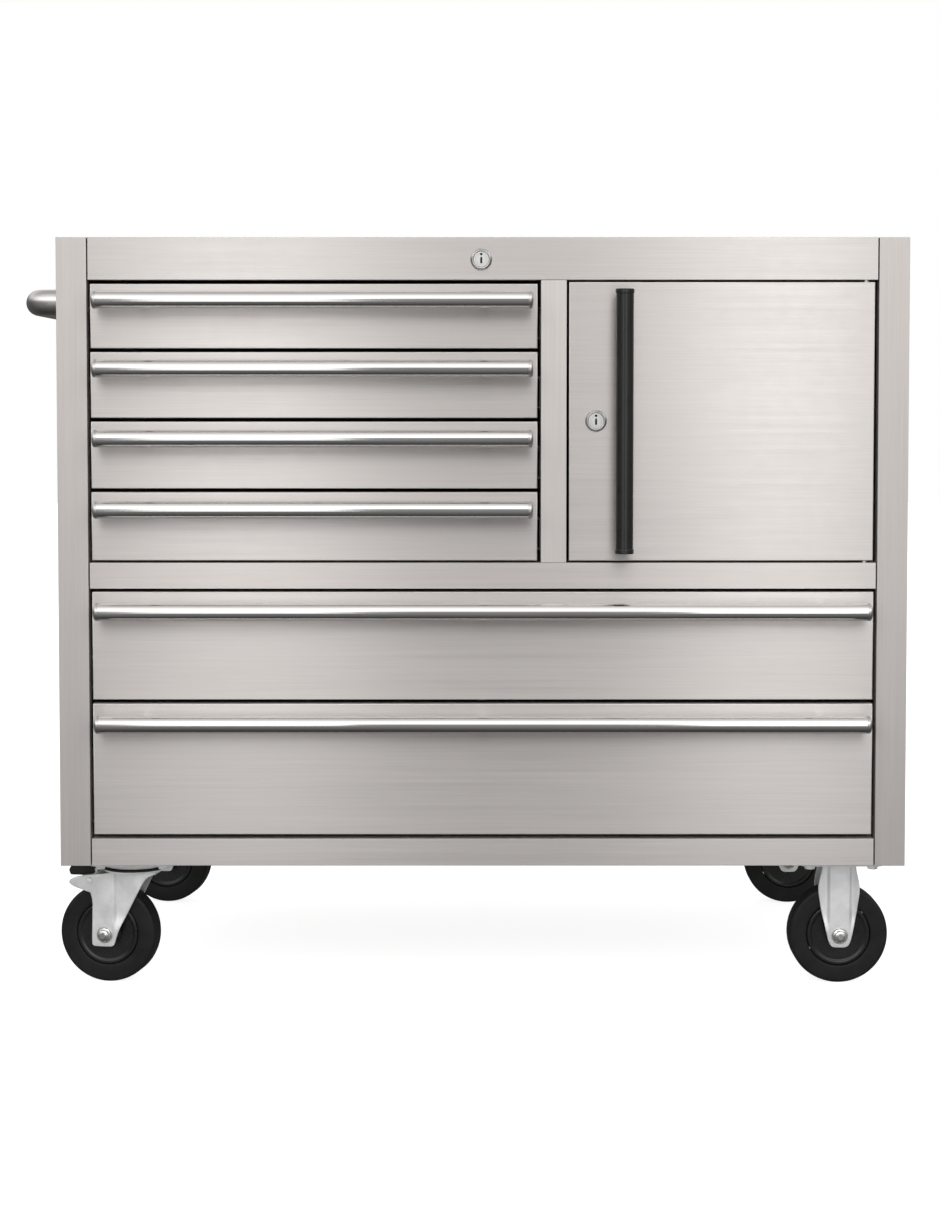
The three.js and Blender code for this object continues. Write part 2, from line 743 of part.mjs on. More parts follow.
// Fork with its bearing cup; the axle trails behind the kingpin towards -X.
function swivelFork() {
  const axleHole = throughHole(AXLE_RADIUS + AXLE_CLEARANCE).translate(0, 0, WHEEL_RADIUS);
  const rivetHole = throughHole(RIVET_RADIUS + AXLE_CLEARANCE)
    .translate(PEDAL_PIVOT.x, 0, PEDAL_PIVOT.z);
  const legs = legPair(swivelLegOutline(), [axleHole, rivetHole]);
  const crown = block([-10, -LEG_INSIDE - 1, CROWN_BOTTOM], [TRAIL, LEG_INSIDE + 1, CROWN_TOP]);
  const bore = KINGPIN.radius + KINGPIN.clearance;
  const cup = latheAboutZ([
    [bore, CROWN_BOTTOM],
    [CUP.outerRadius, CROWN_BOTTOM],
    [CUP.rimRadius, CROWN_TOP + CUP.rimBottom],
    [CUP.rimRadius, CROWN_TOP + CUP.rimTop],
    [CUP.innerRadius, CROWN_TOP],
    [bore, CROWN_TOP],
    [bore, CROWN_BOTTOM],
  ], LOCK_SIDES).translate(TRAIL, 0, 0);
  const kingpinHole = new THREE.CylinderGeometry(bore, bore, CUTTER_REACH, SMALL_SIDES)
    .rotateX(Math.PI / 2)
    .translate(TRAIL, 0, CROWN_TOP);
  return cut(join(crown, cup, ...legs), kingpinHole).translate(-TRAIL, 0, 0);
}

// Brake pedal that turns on a rivet between the ears of the legs; x from the axle.
function brakePedal() {
  const outline = new THREE.Shape();
  outline.moveTo(-49, 143);
  outline.lineTo(-49, 148);
  outline.quadraticCurveTo(-49, 151, -45, 151);
  outline.lineTo(-24, 151);
  outline.quadraticCurveTo(-16, 151, -15, 143);
  outline.lineTo(-14, 131);
  outline.quadraticCurveTo(-15, 126.5, -20, 126.5);
  outline.quadraticCurveTo(-26, 127, -27, 133);
  outline.lineTo(-28, 138);
  outline.quadraticCurveTo(-29, 141, -32, 141);
  outline.lineTo(-46, 141);
  const halfWidth = LEG_INSIDE - 1;
  const lever = extrudeAlongY(outline, 2 * halfWidth, 4).translate(0, -halfWidth, 0);
  const rivetEnd = LEG_INSIDE + LEG_THICKNESS + RIVET_HEAD;
  const rivet = rod(RIVET_RADIUS, -rivetEnd, rivetEnd).translate(PEDAL_PIVOT.x, 0, PEDAL_PIVOT.z);
  return join(lever, rivet);
}

// Bracket of a fixed caster, with both legs hanging straight from its plate.
function rigidBracket() {
  const right = [[9, 48.4], [14, 54], [26.5, 104], [28, 122], [22, 145], [22, BODY_BOTTOM - 2]];
  const left = right.map(([x, z]) => [-x, z]).reverse();
  const outline = new THREE.Shape([...right, ...left].map(([x, z]) => new THREE.Vector2(x, z)));
  const axleHole = throughHole(AXLE_RADIUS + AXLE_CLEARANCE).translate(0, 0, WHEEL_RADIUS);
  return join(casterPlate(), ...legPair(outline, [axleHole]));
}

// Axle bolt on the Y axis, with a washer and a hexagon outside each leg.
function axle() {
  const legFace = LEG_INSIDE + LEG_THICKNESS + GAP;
  const shaft = rod(AXLE_RADIUS, -legFace - HEXAGON.end - 2.5, legFace + HEXAGON.end + 0.5);
  const ends = [0, Math.PI].flatMap((turn) => [
    rod(WASHER.radius, legFace, legFace + WASHER.thickness, WASHER.sides).rotateZ(turn),
    rod(HEXAGON.radius, legFace + HEXAGON.start, legFace + HEXAGON.end, 6).rotateZ(turn),
  ]);
  return join(shaft, ...ends);
}

// A facet of the tread, not an edge, lies on the floor.
function tread() {
  const outer = WHEEL_RADIUS / Math.cos(Math.PI / WHEEL_SIDES);
  const half = TREAD_WIDTH / 2;
  const inner = CORE_RADIUS + CORE_GAP;
  return lathe([
    [inner, -half],
    [outer - 4, -half],
    [outer, -half + 5],
    [outer, half - 5],
    [outer - 4, half],
    [inner, half],
    [inner, -half],
  ], WHEEL_SIDES, Math.PI / WHEEL_SIDES);
}

function core() {
  const half = TREAD_WIDTH / 2;
  const bore = AXLE_RADIUS + AXLE_CLEARANCE;
  return lathe([
    [bore, -HUB_HALF_WIDTH],
    [BOSS_RADIUS, -HUB_HALF_WIDTH],
    [BOSS_RADIUS + 2, -half + 1],
    [CORE_RADIUS, -half + 1],
    [CORE_RADIUS, half - 1],
    [BOSS_RADIUS + 2, half - 1],
    [BOSS_RADIUS, HUB_HALF_WIDTH],
    [bore, HUB_HALF_WIDTH],
    [bore, -HUB_HALF_WIDTH],
  ], WHEEL_SIDES, Math.PI / WHEEL_SIDES);
}

function wheelAndAxle(name, axleX) {
  const centre = [axleX, 0, WHEEL_RADIUS];
  return [
    part(`${name}_axle`, axle(), zincPlate, centre),
    part(`${name}_wheel_tread`, tread(), treadRubber, centre),
    part(`${name}_wheel_core`, core(), coreResin, centre),
  ];
}

function swivelCaster({ name, x, y }) {
  const turning = groupOf([
    part(`${name}_fork`, swivelFork(), zincPlate),
    part(`${name}_brake_pedal`, brakePedal(), pedalPlastic, [-TRAIL, 0, 0]),
    ...wheelAndAxle(name, -TRAIL),
  ]);
  turning.rotation.z = SWIVEL_REST;
  const plate = part(`${name}_caster_plate`, swivelPlate(), zincPlate);
  return groupOf([plate, turning], [x, y, 0]);
}

function rigidCaster({ name, x, y }) {
  return groupOf([
    part(`${name}_caster_bracket`, rigidBracket(), zincPlate),
    ...wheelAndAxle(name, 0),
  ], [x, y, 0]);
}

// ---------------------------------------------------------------- assembly

const cabinet = groupOf([
  part('left_side_panel', sidePanel(-1), stainless, [0, 0, BODY_BOTTOM]),
  part('right_side_panel', sidePanel(1), stainless, [0, 0, BODY_BOTTOM]),
  part('back_panel', backPanel(), galvanised),
  part('top_panel', topPanel(), stainless, [0, SHEET + GAP, 0]),
  part('top_rail', topRail(), stainless),
  part('middle_rail', middleRail(), stainless),
  part('bottom_rail', rail(BODY_BOTTOM + GAP, BOTTOM_RAIL_TOP, true), stainless),
  part('base_pan', floorSheet(-SKIN_INSIDE, BODY_BOTTOM + GAP, true), galvanised),
  part('middle_deck', floorSheet(-SLIDE_FACE + SEAM, MIDDLE_RAIL_TOP, false), galvanised),
  part('centre_divider', centreDivider(), stainless),
  part('left_slide_rack', slideRack(drawers, TOP_RAIL_BOTTOM), galvanised, [-SLIDE_FACE, 0, 0]),
  part('push_handle', pushHandle(), polishedBar),
  part('top_lock_housing', lockHousing(), lockChrome, [TOP_LOCK.x, 0, TOP_LOCK.z]),
  part('top_lock_plug', lockPlug(TOP_LOCK.cam), lockChrome, [TOP_LOCK.x, 0, TOP_LOCK.z]),
]);

const rightRackTop = MIDDLE_RAIL_TOP - 2 * INNER_FLANGE;
const rightRack = part('right_slide_rack', slideRack(lowerDrawers, rightRackTop), galvanised);
rightRack.position.set(SLIDE_FACE, 2 * RAIL_START + RAIL_LENGTH, 0);
rightRack.rotation.z = Math.PI;

const pivotX = DOOR_RIGHT - PIVOT_FROM_EDGE;
const pivotOffset = PIVOT_OUTSIDE - PIVOT_LENGTH / 2;
const door = groupOf([
  part('door_shell', doorShell(), stainlessFront),
  part('door_liner', doorLiner(), galvanised),
  part('door_pull', doorPull(), blackSatin, [DOOR_PULL_X, 0, (DOOR_PULL_BOTTOM + DOOR_PULL_TOP) / 2]),
  part('door_lock_housing', lockHousing(), lockChrome, [DOOR_LOCK.x, 0, DOOR_LOCK.z]),
  part('door_lock_plug', lockPlug(DOOR_LOCK.cam), lockChrome, [DOOR_LOCK.x, 0, DOOR_LOCK.z]),
  part('door_upper_pivot', pivotPin(), zincPlate, [pivotX, PIVOT_DEPTH, DOOR_TOP + pivotOffset]),
  part('door_lower_pivot', pivotPin(), zincPlate, [pivotX, PIVOT_DEPTH, DOOR_BOTTOM - pivotOffset]),
]);

const chest = groupOf([
  cabinet,
  rightRack,
  door,
  ...drawers.map((drawer, i) => drawerParts(drawer, i + 1)),
  ...SWIVEL_CASTERS.map(swivelCaster),
  ...RIGID_CASTERS.map(rigidCaster),
]);

// The origin is on the floor, under the middle of the whole chest.
const extent = new THREE.Box3().setFromObject(chest, true);
const middle = extent.getCenter(new THREE.Vector3());
chest.position.set(-middle.x, -middle.y, -extent.min.z);

export default chest;
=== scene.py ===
"""Looks of the rolling tool chest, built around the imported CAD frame. Metres, +Z up, front towards -Y."""
import json
import math

import bmesh
import bpy
from mathutils import Matrix, Vector

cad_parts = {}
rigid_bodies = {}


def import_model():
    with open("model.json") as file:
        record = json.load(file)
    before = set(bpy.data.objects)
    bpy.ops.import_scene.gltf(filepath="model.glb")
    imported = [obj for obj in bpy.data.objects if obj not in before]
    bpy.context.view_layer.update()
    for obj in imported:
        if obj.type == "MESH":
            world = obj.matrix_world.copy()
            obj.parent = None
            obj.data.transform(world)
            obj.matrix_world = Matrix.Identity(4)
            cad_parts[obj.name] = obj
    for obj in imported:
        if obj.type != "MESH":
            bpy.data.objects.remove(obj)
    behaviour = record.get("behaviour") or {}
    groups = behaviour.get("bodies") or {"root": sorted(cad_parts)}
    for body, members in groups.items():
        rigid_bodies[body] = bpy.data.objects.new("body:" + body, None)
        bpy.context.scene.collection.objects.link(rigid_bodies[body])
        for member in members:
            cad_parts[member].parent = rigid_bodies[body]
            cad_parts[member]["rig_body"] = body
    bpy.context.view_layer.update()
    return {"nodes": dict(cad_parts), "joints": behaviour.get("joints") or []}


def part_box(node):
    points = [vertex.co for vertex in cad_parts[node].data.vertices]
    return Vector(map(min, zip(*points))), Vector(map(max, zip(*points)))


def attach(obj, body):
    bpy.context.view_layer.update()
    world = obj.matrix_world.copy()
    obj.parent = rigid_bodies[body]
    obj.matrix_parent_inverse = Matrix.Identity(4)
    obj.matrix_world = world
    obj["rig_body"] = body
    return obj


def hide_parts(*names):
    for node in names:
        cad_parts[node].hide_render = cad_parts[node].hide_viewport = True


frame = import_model()
nodes = frame["nodes"]

MM = 0.001
FULL_TURN = 2 * math.pi
X_AXIS, Y_AXIS, Z_AXIS = Vector((1, 0, 0)), Vector((0, 1, 0)), Vector((0, 0, 1))
ORIGIN = Vector((0, 0, 0))
DRAWERS = range(1, 7)
SWIVEL_CASTERS = ("left_front", "left_rear")
RIGID_CASTERS = ("right_front", "right_rear")

WHEEL_SIDES, RACE_SIDES, BAR_SIDES, LOCK_SIDES, SMALL_SIDES, POST_SIDES = 96, 64, 48, 48, 32, 24
SHARP_ANGLE = math.radians(38)  # faces that meet at more than this keep a sharp edge
ROUNDED_ANGLE = math.radians(30)  # edges flatter than this are not rounded
OUTER_EDGE, INNER_EDGE, FRONT_EDGE = 0.45 * MM, 0.3 * MM, 1.2 * MM  # edge radii of the sheets
POST_FROM_END, POST_RADIUS = 60 * MM, 5 * MM  # posts of the bars and of the door pull
LONG_BAR = 0.7  # a longer bar has a third post in the middle
LOCK_RIM, LOCK_FACE = 13.5 * MM, 10 * MM  # outer and inner radius of a lock's bezel

WHEEL_RADIUS, WHEEL_HALF_WIDTH = 63.5 * MM, 16 * MM
AXLE_CENTRE = Vector((0, 0, WHEEL_RADIUS))
TYRE_SEAM = 41 * MM  # radius at which the tyre meets the core
TRAIL = 33 * MM  # from a swivel caster's kingpin back to its axle
LEG_INSIDE, LEG_SHEET, LEG_STEP = 19 * MM, 3 * MM, 4.2 * MM
LEG_FACE = LEG_INSIDE + LEG_SHEET + LEG_STEP
PLATE_TOP, PLATE_SHEET = 160.7 * MM, 4 * MM


# ---------------------------------------------------------------- places taken from the frame

def low(node):
    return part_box(node)[0]


def high(node):
    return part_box(node)[1]


def middle(node):
    return (low(node) + high(node)) / 2


def body_of(node):
    return nodes[node]["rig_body"]


def joint(name):
    return next(j for j in frame["joints"] if j["name"] == name)


def floor_point(node):
    """The middle of a CAD node, brought down to the floor."""
    place = middle(node)
    return Vector((place.x, place.y, 0))


FRONT_Y = low("top_rail").y
MIDDLE_X = middle("top_rail").x


# ---------------------------------------------------------------- shader helpers

MIX_FACTOR, MIX_DARK, MIX_LIGHT, MIX_COLOUR = 0, 6, 7, 2  # sockets of a Mix node that mixes colours
FULL = (0.0, 1.0)
NOISE_SPAN = (0.3, 0.7)  # the values that most of a noise lies between


def new_material(name):
    material = bpy.data.materials.new(name)
    material.use_nodes = True
    tree = material.node_tree
    return material, tree, tree.nodes["Principled BSDF"]


def add_node(tree, kind, inputs, **settings):
    """New shader node; an input is given a value or joined to the output socket it names."""
    made = tree.nodes.new("ShaderNode" + kind)
    for key, value in settings.items():
        setattr(made, key, value)
    for key, value in inputs.items():
        if isinstance(value, bpy.types.NodeSocket):
            tree.links.new(value, made.inputs[key])
        else:
            made.inputs[key].default_value = value
    return made


def noise(tree, size, detail=2.0, roughness=0.5):
    """Noise from 0 to 1; size is the length of a feature along X, Y and Z, in metres."""
    place = tree.nodes.new("ShaderNodeTexCoord").outputs["Object"]
    scaled = add_node(tree, "Mapping", {"Vector": place, "Scale": [1 / s for s in size]})
    inputs = {"Vector": scaled.outputs["Vector"], "Scale": 1.0, "Detail": detail, "Roughness": roughness}
    return add_node(tree, "TexNoise", inputs).outputs["Fac"]


def grain(tree, along, length, width, detail=2.0):
    """Noise drawn out along one axis."""
    size = [width] * 3
    size["XYZ".index(along)] = length
    return noise(tree, size, detail)


def weighted(tree, parts):
    """Sum of (output, weight) pairs."""
    total = None
    for output, weight in parts:
        inputs = {0: output, 1: weight, 2: total if total is not None else 0.0}
        total = add_node(tree, "Math", inputs, operation="MULTIPLY_ADD").outputs[0]
    return total


def ranged(tree, value, source, target):
    """The value moved from one range to another and kept inside it."""
    inputs = {"Value": value, "From Min": source[0], "From Max": source[1],
              "To Min": target[0], "To Max": target[1]}
    return add_node(tree, "MapRange", inputs).outputs["Result"]


def shaded(tree, factor, dark, light):
    """Colour between two by a factor from 0 to 1."""
    mix = add_node(tree, "Mix", {}, data_type="RGBA")
    tree.links.new(factor, mix.inputs[MIX_FACTOR])
    mix.inputs[MIX_DARK].default_value = (*dark, 1)
    mix.inputs[MIX_LIGHT].default_value = (*light, 1)
    return mix.outputs[MIX_COLOUR]


def bump(tree, shader, height, depth, strength):
    """Surface relief from a height of 0 to 1 that stands for a depth in metres."""
    inputs = {"Height": height, "Distance": depth, "Strength": strength}
    tree.links.new(add_node(tree, "Bump", inputs).outputs["Normal"], shader.inputs["Normal"])


def scaled_colour(colour, factor):
    return [min(1.0, channel * factor) for channel in colour]


# ---------------------------------------------------------------- materials

def brushed_steel(name, along, colour, roughness, anisotropy, across):
    """Brushed stainless sheet with its grain along one axis; the gloss spreads in the direction across it."""
    material, tree, shader = new_material(name)
    fine = grain(tree, along, 110 * MM, 1.0 * MM, 3.0)
    streak = grain(tree, along, 380 * MM, 4.5 * MM)
    cloud = grain(tree, along, 500 * MM, 120 * MM)
    scuff = noise(tree, (14 * MM, 14 * MM, 14 * MM), 6.0, 0.7)
    tone = weighted(tree, [(fine, 0.5), (streak, 0.3), (cloud, 0.2)])
    factor = ranged(tree, tone, (0.32, 0.68), FULL)
    tint = shaded(tree, factor, scaled_colour(colour, 0.94), scaled_colour(colour, 1.06))
    tree.links.new(tint, shader.inputs["Base Color"])
    gloss = weighted(tree, [(streak, 0.6), (scuff, 0.4)])
    rough = ranged(tree, gloss, NOISE_SPAN, (roughness - 0.04, roughness + 0.04))
    tree.links.new(rough, shader.inputs["Roughness"])
    shader.inputs["Metallic"].default_value = 1.0
    shader.inputs["Anisotropic"].default_value = anisotropy
    turned = add_node(tree, "VectorTransform", {"Vector": across}, vector_type="VECTOR",
                      convert_from="OBJECT", convert_to="WORLD")
    tree.links.new(turned.outputs["Vector"], shader.inputs["Tangent"])
    bump(tree, shader, fine, 0.02 * MM, 0.25)
    return material


def satin_tube(name, along, colour, roughness):
    """Satin polished tube with faint lines along it."""
    material, tree, shader = new_material(name)
    line = grain(tree, along, 160 * MM, 0.8 * MM, 3.0)
    cloud = grain(tree, along, 120 * MM, 30 * MM)
    factor = ranged(tree, weighted(tree, [(line, 0.6), (cloud, 0.4)]), NOISE_SPAN, FULL)
    tint = shaded(tree, factor, scaled_colour(colour, 0.95), scaled_colour(colour, 1.04))
    tree.links.new(tint, shader.inputs["Base Color"])
    rough = ranged(tree, cloud, NOISE_SPAN, (roughness - 0.03, roughness + 0.03))
    tree.links.new(rough, shader.inputs["Roughness"])
    shader.inputs["Metallic"].default_value = 1.0
    bump(tree, shader, line, 0.006 * MM, 0.15)
    return material


def zinc_plated(name, colour, roughness, spangle, metallic):
    """Plated pressed steel: clouded grey with grains of the spangle's size and rubbed, duller patches."""
    material, tree, shader = new_material(name)
    cloud = noise(tree, (16 * MM, 16 * MM, 22 * MM), 4.0, 0.6)
    fleck = noise(tree, (spangle, spangle, spangle))
    factor = ranged(tree, weighted(tree, [(cloud, 0.65), (fleck, 0.35)]), NOISE_SPAN, FULL)
    tint = shaded(tree, factor, scaled_colour(colour, 0.86), scaled_colour(colour, 1.08))
    tree.links.new(tint, shader.inputs["Base Color"])
    rough = ranged(tree, cloud, NOISE_SPAN, (roughness - 0.07, roughness + 0.08))
    tree.links.new(rough, shader.inputs["Roughness"])
    shader.inputs["Metallic"].default_value = metallic
    bump(tree, shader, fleck, 0.05 * MM, 0.3)
    return material


def grey_coat():
    """Grey powder coat on the inner steel, with its orange-peel surface and a little dust."""
    material, tree, shader = new_material("grey_coat")
    peel = noise(tree, (1.6 * MM, 1.6 * MM, 1.6 * MM), 1.0)
    dust = noise(tree, (60 * MM, 60 * MM, 30 * MM), 5.0, 0.65)
    patches = ranged(tree, dust, NOISE_SPAN, FULL)
    tint = shaded(tree, patches, (0.19, 0.195, 0.2), (0.25, 0.25, 0.25))
    tree.links.new(tint, shader.inputs["Base Color"])
    tree.links.new(ranged(tree, dust, NOISE_SPAN, (0.36, 0.5)), shader.inputs["Roughness"])
    bump(tree, shader, peel, 0.08 * MM, 0.35)
    return material


def lock_chrome(name, colour, gloss):
    """Chrome with faint smudges; gloss is the range of its roughness."""
    material, tree, shader = new_material(name)
    smudge = noise(tree, (5 * MM, 5 * MM, 5 * MM), 4.0, 0.6)
    tint = shaded(tree, smudge, scaled_colour(colour, 0.92), scaled_colour(colour, 1.06))
    tree.links.new(tint, shader.inputs["Base Color"])
    tree.links.new(ranged(tree, smudge, NOISE_SPAN, gloss), shader.inputs["Roughness"])
    shader.inputs["Metallic"].default_value = 1.0
    bump(tree, shader, smudge, 0.02 * MM, 0.2)
    return material


def dark_moulding(name, dark, light, specular, gloss, size, depth):
    """Black rubber, resin or coating: a texture of a size and depth, dusty patches and a range of gloss."""
    material, tree, shader = new_material(name)
    texture = noise(tree, (size, size, size))
    dust = noise(tree, (24 * MM, 24 * MM, 24 * MM), 5.0, 0.65)
    patches = ranged(tree, dust, (0.35, 0.75), FULL)
    tint = shaded(tree, patches, (dark,) * 3, (light, light, light * 0.97))
    tree.links.new(tint, shader.inputs["Base Color"])
    shader.inputs["Specular IOR Level"].default_value = specular
    mixed = weighted(tree, [(dust, 0.7), (texture, 0.3)])
    tree.links.new(ranged(tree, mixed, NOISE_SPAN, gloss), shader.inputs["Roughness"])
    bump(tree, shader, texture, depth, 0.4)
    return material


SPREAD_UP = (0, 0.35, 1)  # directions that the gloss of brushed sheet spreads in
SPREAD_SIDEWAYS = (1, 0.35, 0)
STEEL = (0.70, 0.665, 0.645)
FRONT_STEEL = brushed_steel("front_steel", "X", STEEL, 0.40, 0.8, SPREAD_UP)
RAIL_STEEL = brushed_steel("rail_steel", "X", STEEL, 0.41, 0.75, SPREAD_UP)
POST_STEEL = brushed_steel("post_steel", "Z", scaled_colour(STEEL, 1.06), 0.54, 0.3, SPREAD_SIDEWAYS)
BAR_STEEL = satin_tube("bar_steel", "X", (0.78, 0.77, 0.76), 0.12)
COLLAR_STEEL = satin_tube("collar_steel", "X", (0.60, 0.59, 0.58), 0.34)
HANDLE_STEEL = satin_tube("handle_steel", "Y", (0.66, 0.645, 0.635), 0.27)
ZINC = zinc_plated("zinc", (0.80, 0.81, 0.81), 0.50, 1.2 * MM, 0.72)
BRIGHT_ZINC = zinc_plated("bright_zinc", (0.76, 0.76, 0.75), 0.27, 0.8 * MM, 1.0)
GALVANISED = zinc_plated("galvanised", (0.50, 0.51, 0.52), 0.45, 6 * MM, 1.0)
GREY_COAT = grey_coat()
CHROME = lock_chrome("lock_chrome", (0.58, 0.58, 0.57), (0.24, 0.32))
SATIN_CHROME = lock_chrome("satin_chrome", (0.76, 0.76, 0.75), (0.46, 0.54))
BLACK_SATIN = dark_moulding("black_satin", 0.005, 0.008, 0.6, (0.26, 0.32), 0.9 * MM, 0.02 * MM)
RUBBER = dark_moulding("rubber", 0.006, 0.011, 0.22, (0.46, 0.62), 1.2 * MM, 0.06 * MM)
RESIN = dark_moulding("resin", 0.005, 0.009, 0.5, (0.22, 0.32), 1.0 * MM, 0.03 * MM)
PEDAL_BLACK = dark_moulding("pedal_black", 0.009, 0.016, 0.3, (0.45, 0.60), 0.8 * MM, 0.05 * MM)


# ---------------------------------------------------------------- mesh helpers

def new_piece(name, bm, material, body, replaced=()):
    """Object made from bm that rides on a body and stands for some CAD nodes."""
    bmesh.ops.recalc_face_normals(bm, faces=bm.faces)
    mesh = bpy.data.meshes.new(name)
    bm.to_mesh(mesh)
    bm.free()
    mesh.materials.append(material)
    mesh.shade_smooth()
    mesh.set_sharp_from_angle(angle=SHARP_ANGLE)
    piece = bpy.data.objects.new(name, mesh)
    bpy.context.scene.collection.objects.link(piece)
    weights = piece.modifiers.new("flat_faces", "WEIGHTED_NORMAL")
    weights.keep_sharp = True
    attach(piece, body)
    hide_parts(*replaced)


def in_mm(points):
    return [(a * MM, b * MM) for a, b in points]


def rectangle(half_x, half_y):
    return [(-half_x, -half_y), (half_x, -half_y), (half_x, half_y), (-half_x, half_y)]


def softened(points, radius, steps=3, closed=False):
    """The same 2D outline with each corner rounded off."""
    points = [Vector(p) for p in points]
    count = len(points)
    out = []
    for i, corner in enumerate(points):
        if not closed and i in (0, count - 1):
            out.append(corner)
            continue
        before, after = points[i - 1] - corner, points[(i + 1) % count] - corner
        start = corner + before.normalized() * min(radius, before.length * 0.49)
        end = corner + after.normalized() * min(radius, after.length * 0.49)
        for step in range(steps + 1):
            t = step / steps
            out.append((1 - t) ** 2 * start + 2 * t * (1 - t) * corner + t ** 2 * end)
    return out


def add_lathe(bm, profile, place, axis, sides, closed=False):
    """Surface of revolution; the profile holds (radius, distance along the axis) points."""
    direction = Vector(axis).normalized()
    across = direction.orthogonal().normalized()
    beside = direction.cross(across)
    rings = []
    for radius, along in profile:
        centre = Vector(place) + direction * along
        turns = [FULL_TURN * i / sides for i in range(sides)] if radius > 1e-6 else [0.0]
        rings.append([bm.verts.new(centre + radius * (across * math.cos(a) + beside * math.sin(a)))
                      for a in turns])
    for lower, upper in zip(rings, rings[1:] + (rings[:1] if closed else [])):
        for i in range(sides):
            j = i + 1
            corners = [ring[k % len(ring)] for ring, k in ((lower, i), (lower, j), (upper, j), (upper, i))]
            bm.faces.new(dict.fromkeys(corners))


def upright(centre=ORIGIN):
    """Places an outline in X and Z, and its depth along Y, about a centre."""
    return lambda x, z, y: centre + Vector((x, y, z))


def lying(x, y, z):
    """Places an outline in X and Y, and its depth along Z."""
    return Vector((x, y, z))


def add_prism(bm, outline, depth, place):
    """Closed plate from a 2D outline and the two ends of its depth; place gives each corner's point."""
    near = [bm.verts.new(place(u, v, depth[0])) for u, v in outline]
    far = [bm.verts.new(place(u, v, depth[1])) for u, v in outline]
    bm.faces.new(near)
    bm.faces.new(far)
    for i in range(len(outline)):
        j = (i + 1) % len(outline)
        bm.faces.new((near[i], near[j], far[j], far[i]))


def round_edges(bm, chosen, radius, steps):
    """Bevels the sharp edges that chosen(first corner, second corner) picks."""
    edges = [e for e in bm.edges if len(e.link_faces) == 2
             and e.calc_face_angle(0) > ROUNDED_ANGLE and chosen(e.verts[0].co, e.verts[1].co)]
    bmesh.ops.bevel(bm, geom=edges, offset=radius, offset_type="OFFSET", segments=steps,
                    profile=0.5, affect="EDGES", clamp_overlap=True)


def any_edge(first, second):
    return True


def on_front_plane(first, second):
    return max(first.y, second.y) < FRONT_Y + 0.05 * MM


def sheet_copy(node):
    """The CAD node's mesh with its flat faces whole."""
    bm = bmesh.new()
    bm.from_mesh(nodes[node].data)
    bmesh.ops.remove_doubles(bm, verts=bm.verts, dist=0.02 * MM)
    bmesh.ops.dissolve_limit(bm, angle_limit=math.radians(1), verts=bm.verts, edges=bm.edges)
    return bm


def sheet_piece(name, node, material, radius=OUTER_EDGE, steps=2, chosen=any_edge):
    """Sheet part with its chosen edges rounded."""
    bm = sheet_copy(node)
    round_edges(bm, chosen, radius, steps)
    new_piece(name, bm, material, body_of(node), [node])


def inner_sheet_piece(name, node, material):
    """Thin inner sheet with its edges just broken."""
    sheet_piece(name, node, material, INNER_EDGE, 1)


def front_piece(name, node):
    """Brushed front of a drawer or the door, with its front edges rounded."""
    sheet_piece(name, node, FRONT_STEEL, FRONT_EDGE, 4, on_front_plane)


def carved(solid, tool):
    """The bmesh of a solid with a tool cut out of it."""
    made = []
    for bm in (solid, tool):
        bmesh.ops.recalc_face_normals(bm, faces=bm.faces)
        mesh = bpy.data.meshes.new("carving")
        bm.to_mesh(mesh)
        bm.free()
        made.append(bpy.data.objects.new("carving", mesh))
        bpy.context.scene.collection.objects.link(made[-1])
    cut = made[0].modifiers.new("cut", "BOOLEAN")
    cut.object, cut.operation, cut.solver = made[1], "DIFFERENCE", "EXACT"
    evaluated = made[0].evaluated_get(bpy.context.evaluated_depsgraph_get())
    result = bmesh.new()
    result.from_mesh(evaluated.to_mesh())
    evaluated.to_mesh_clear()
    for thing in made:
        mesh = thing.data
        bpy.data.objects.remove(thing)
        bpy.data.meshes.remove(mesh)
    return result


def smooth_step(t):
    t = min(1.0, max(0.0, t))
    return t * t * (3 - 2 * t)


def sliced(bm, axis, values, spacing):
    """Cuts the flat mesh across at even distances, so that it can take a pressed shape."""
    place = min(values) + spacing
    while place < max(values):
        geom = [*bm.verts, *bm.edges, *bm.faces]
        bmesh.ops.bisect_plane(bm, geom=geom, plane_co=axis * place, plane_no=axis, dist=0.01 * MM)
        place += spacing


def pressed_sheet(outline, lift, thickness, spacing=1.25 * MM, chamfer=0.5 * MM):
    """Sheet cut to an outline in X and Z that faces -Y, pressed forward by lift(x, z)."""
    bm = bmesh.new()
    face = bm.faces.new([bm.verts.new((x, 0, z)) for x, z in outline])
    bmesh.ops.inset_region(bm, faces=[face], thickness=chamfer, use_even_offset=True)
    bmesh.ops.triangulate(bm, faces=bm.faces)
    sliced(bm, X_AXIS, [x for x, _ in outline], spacing)
    sliced(bm, Z_AXIS, [z for _, z in outline], 3 * spacing)
    rim = {v for e in bm.edges if e.is_boundary for v in e.verts}
    for v in bm.verts:
        v.co.y = -lift(v.co.x, v.co.z) - thickness
    copied = bmesh.ops.duplicate(bm, geom=[*bm.verts, *bm.edges, *bm.faces])["geom"]
    for v in copied:
        if isinstance(v, bmesh.types.BMVert):
            v.co.y += thickness
    copied = set(copied)
    edges = [e for e in bm.edges if e.is_boundary and e not in copied]
    wall = bmesh.ops.extrude_edge_only(bm, edges=edges)["geom"]
    for v in wall:
        if isinstance(v, bmesh.types.BMVert):
            v.co.y += thickness
    for v in rim:
        v.co.y += chamfer
    bmesh.ops.remove_doubles(bm, verts=bm.verts, dist=0.001 * MM)
    return bm


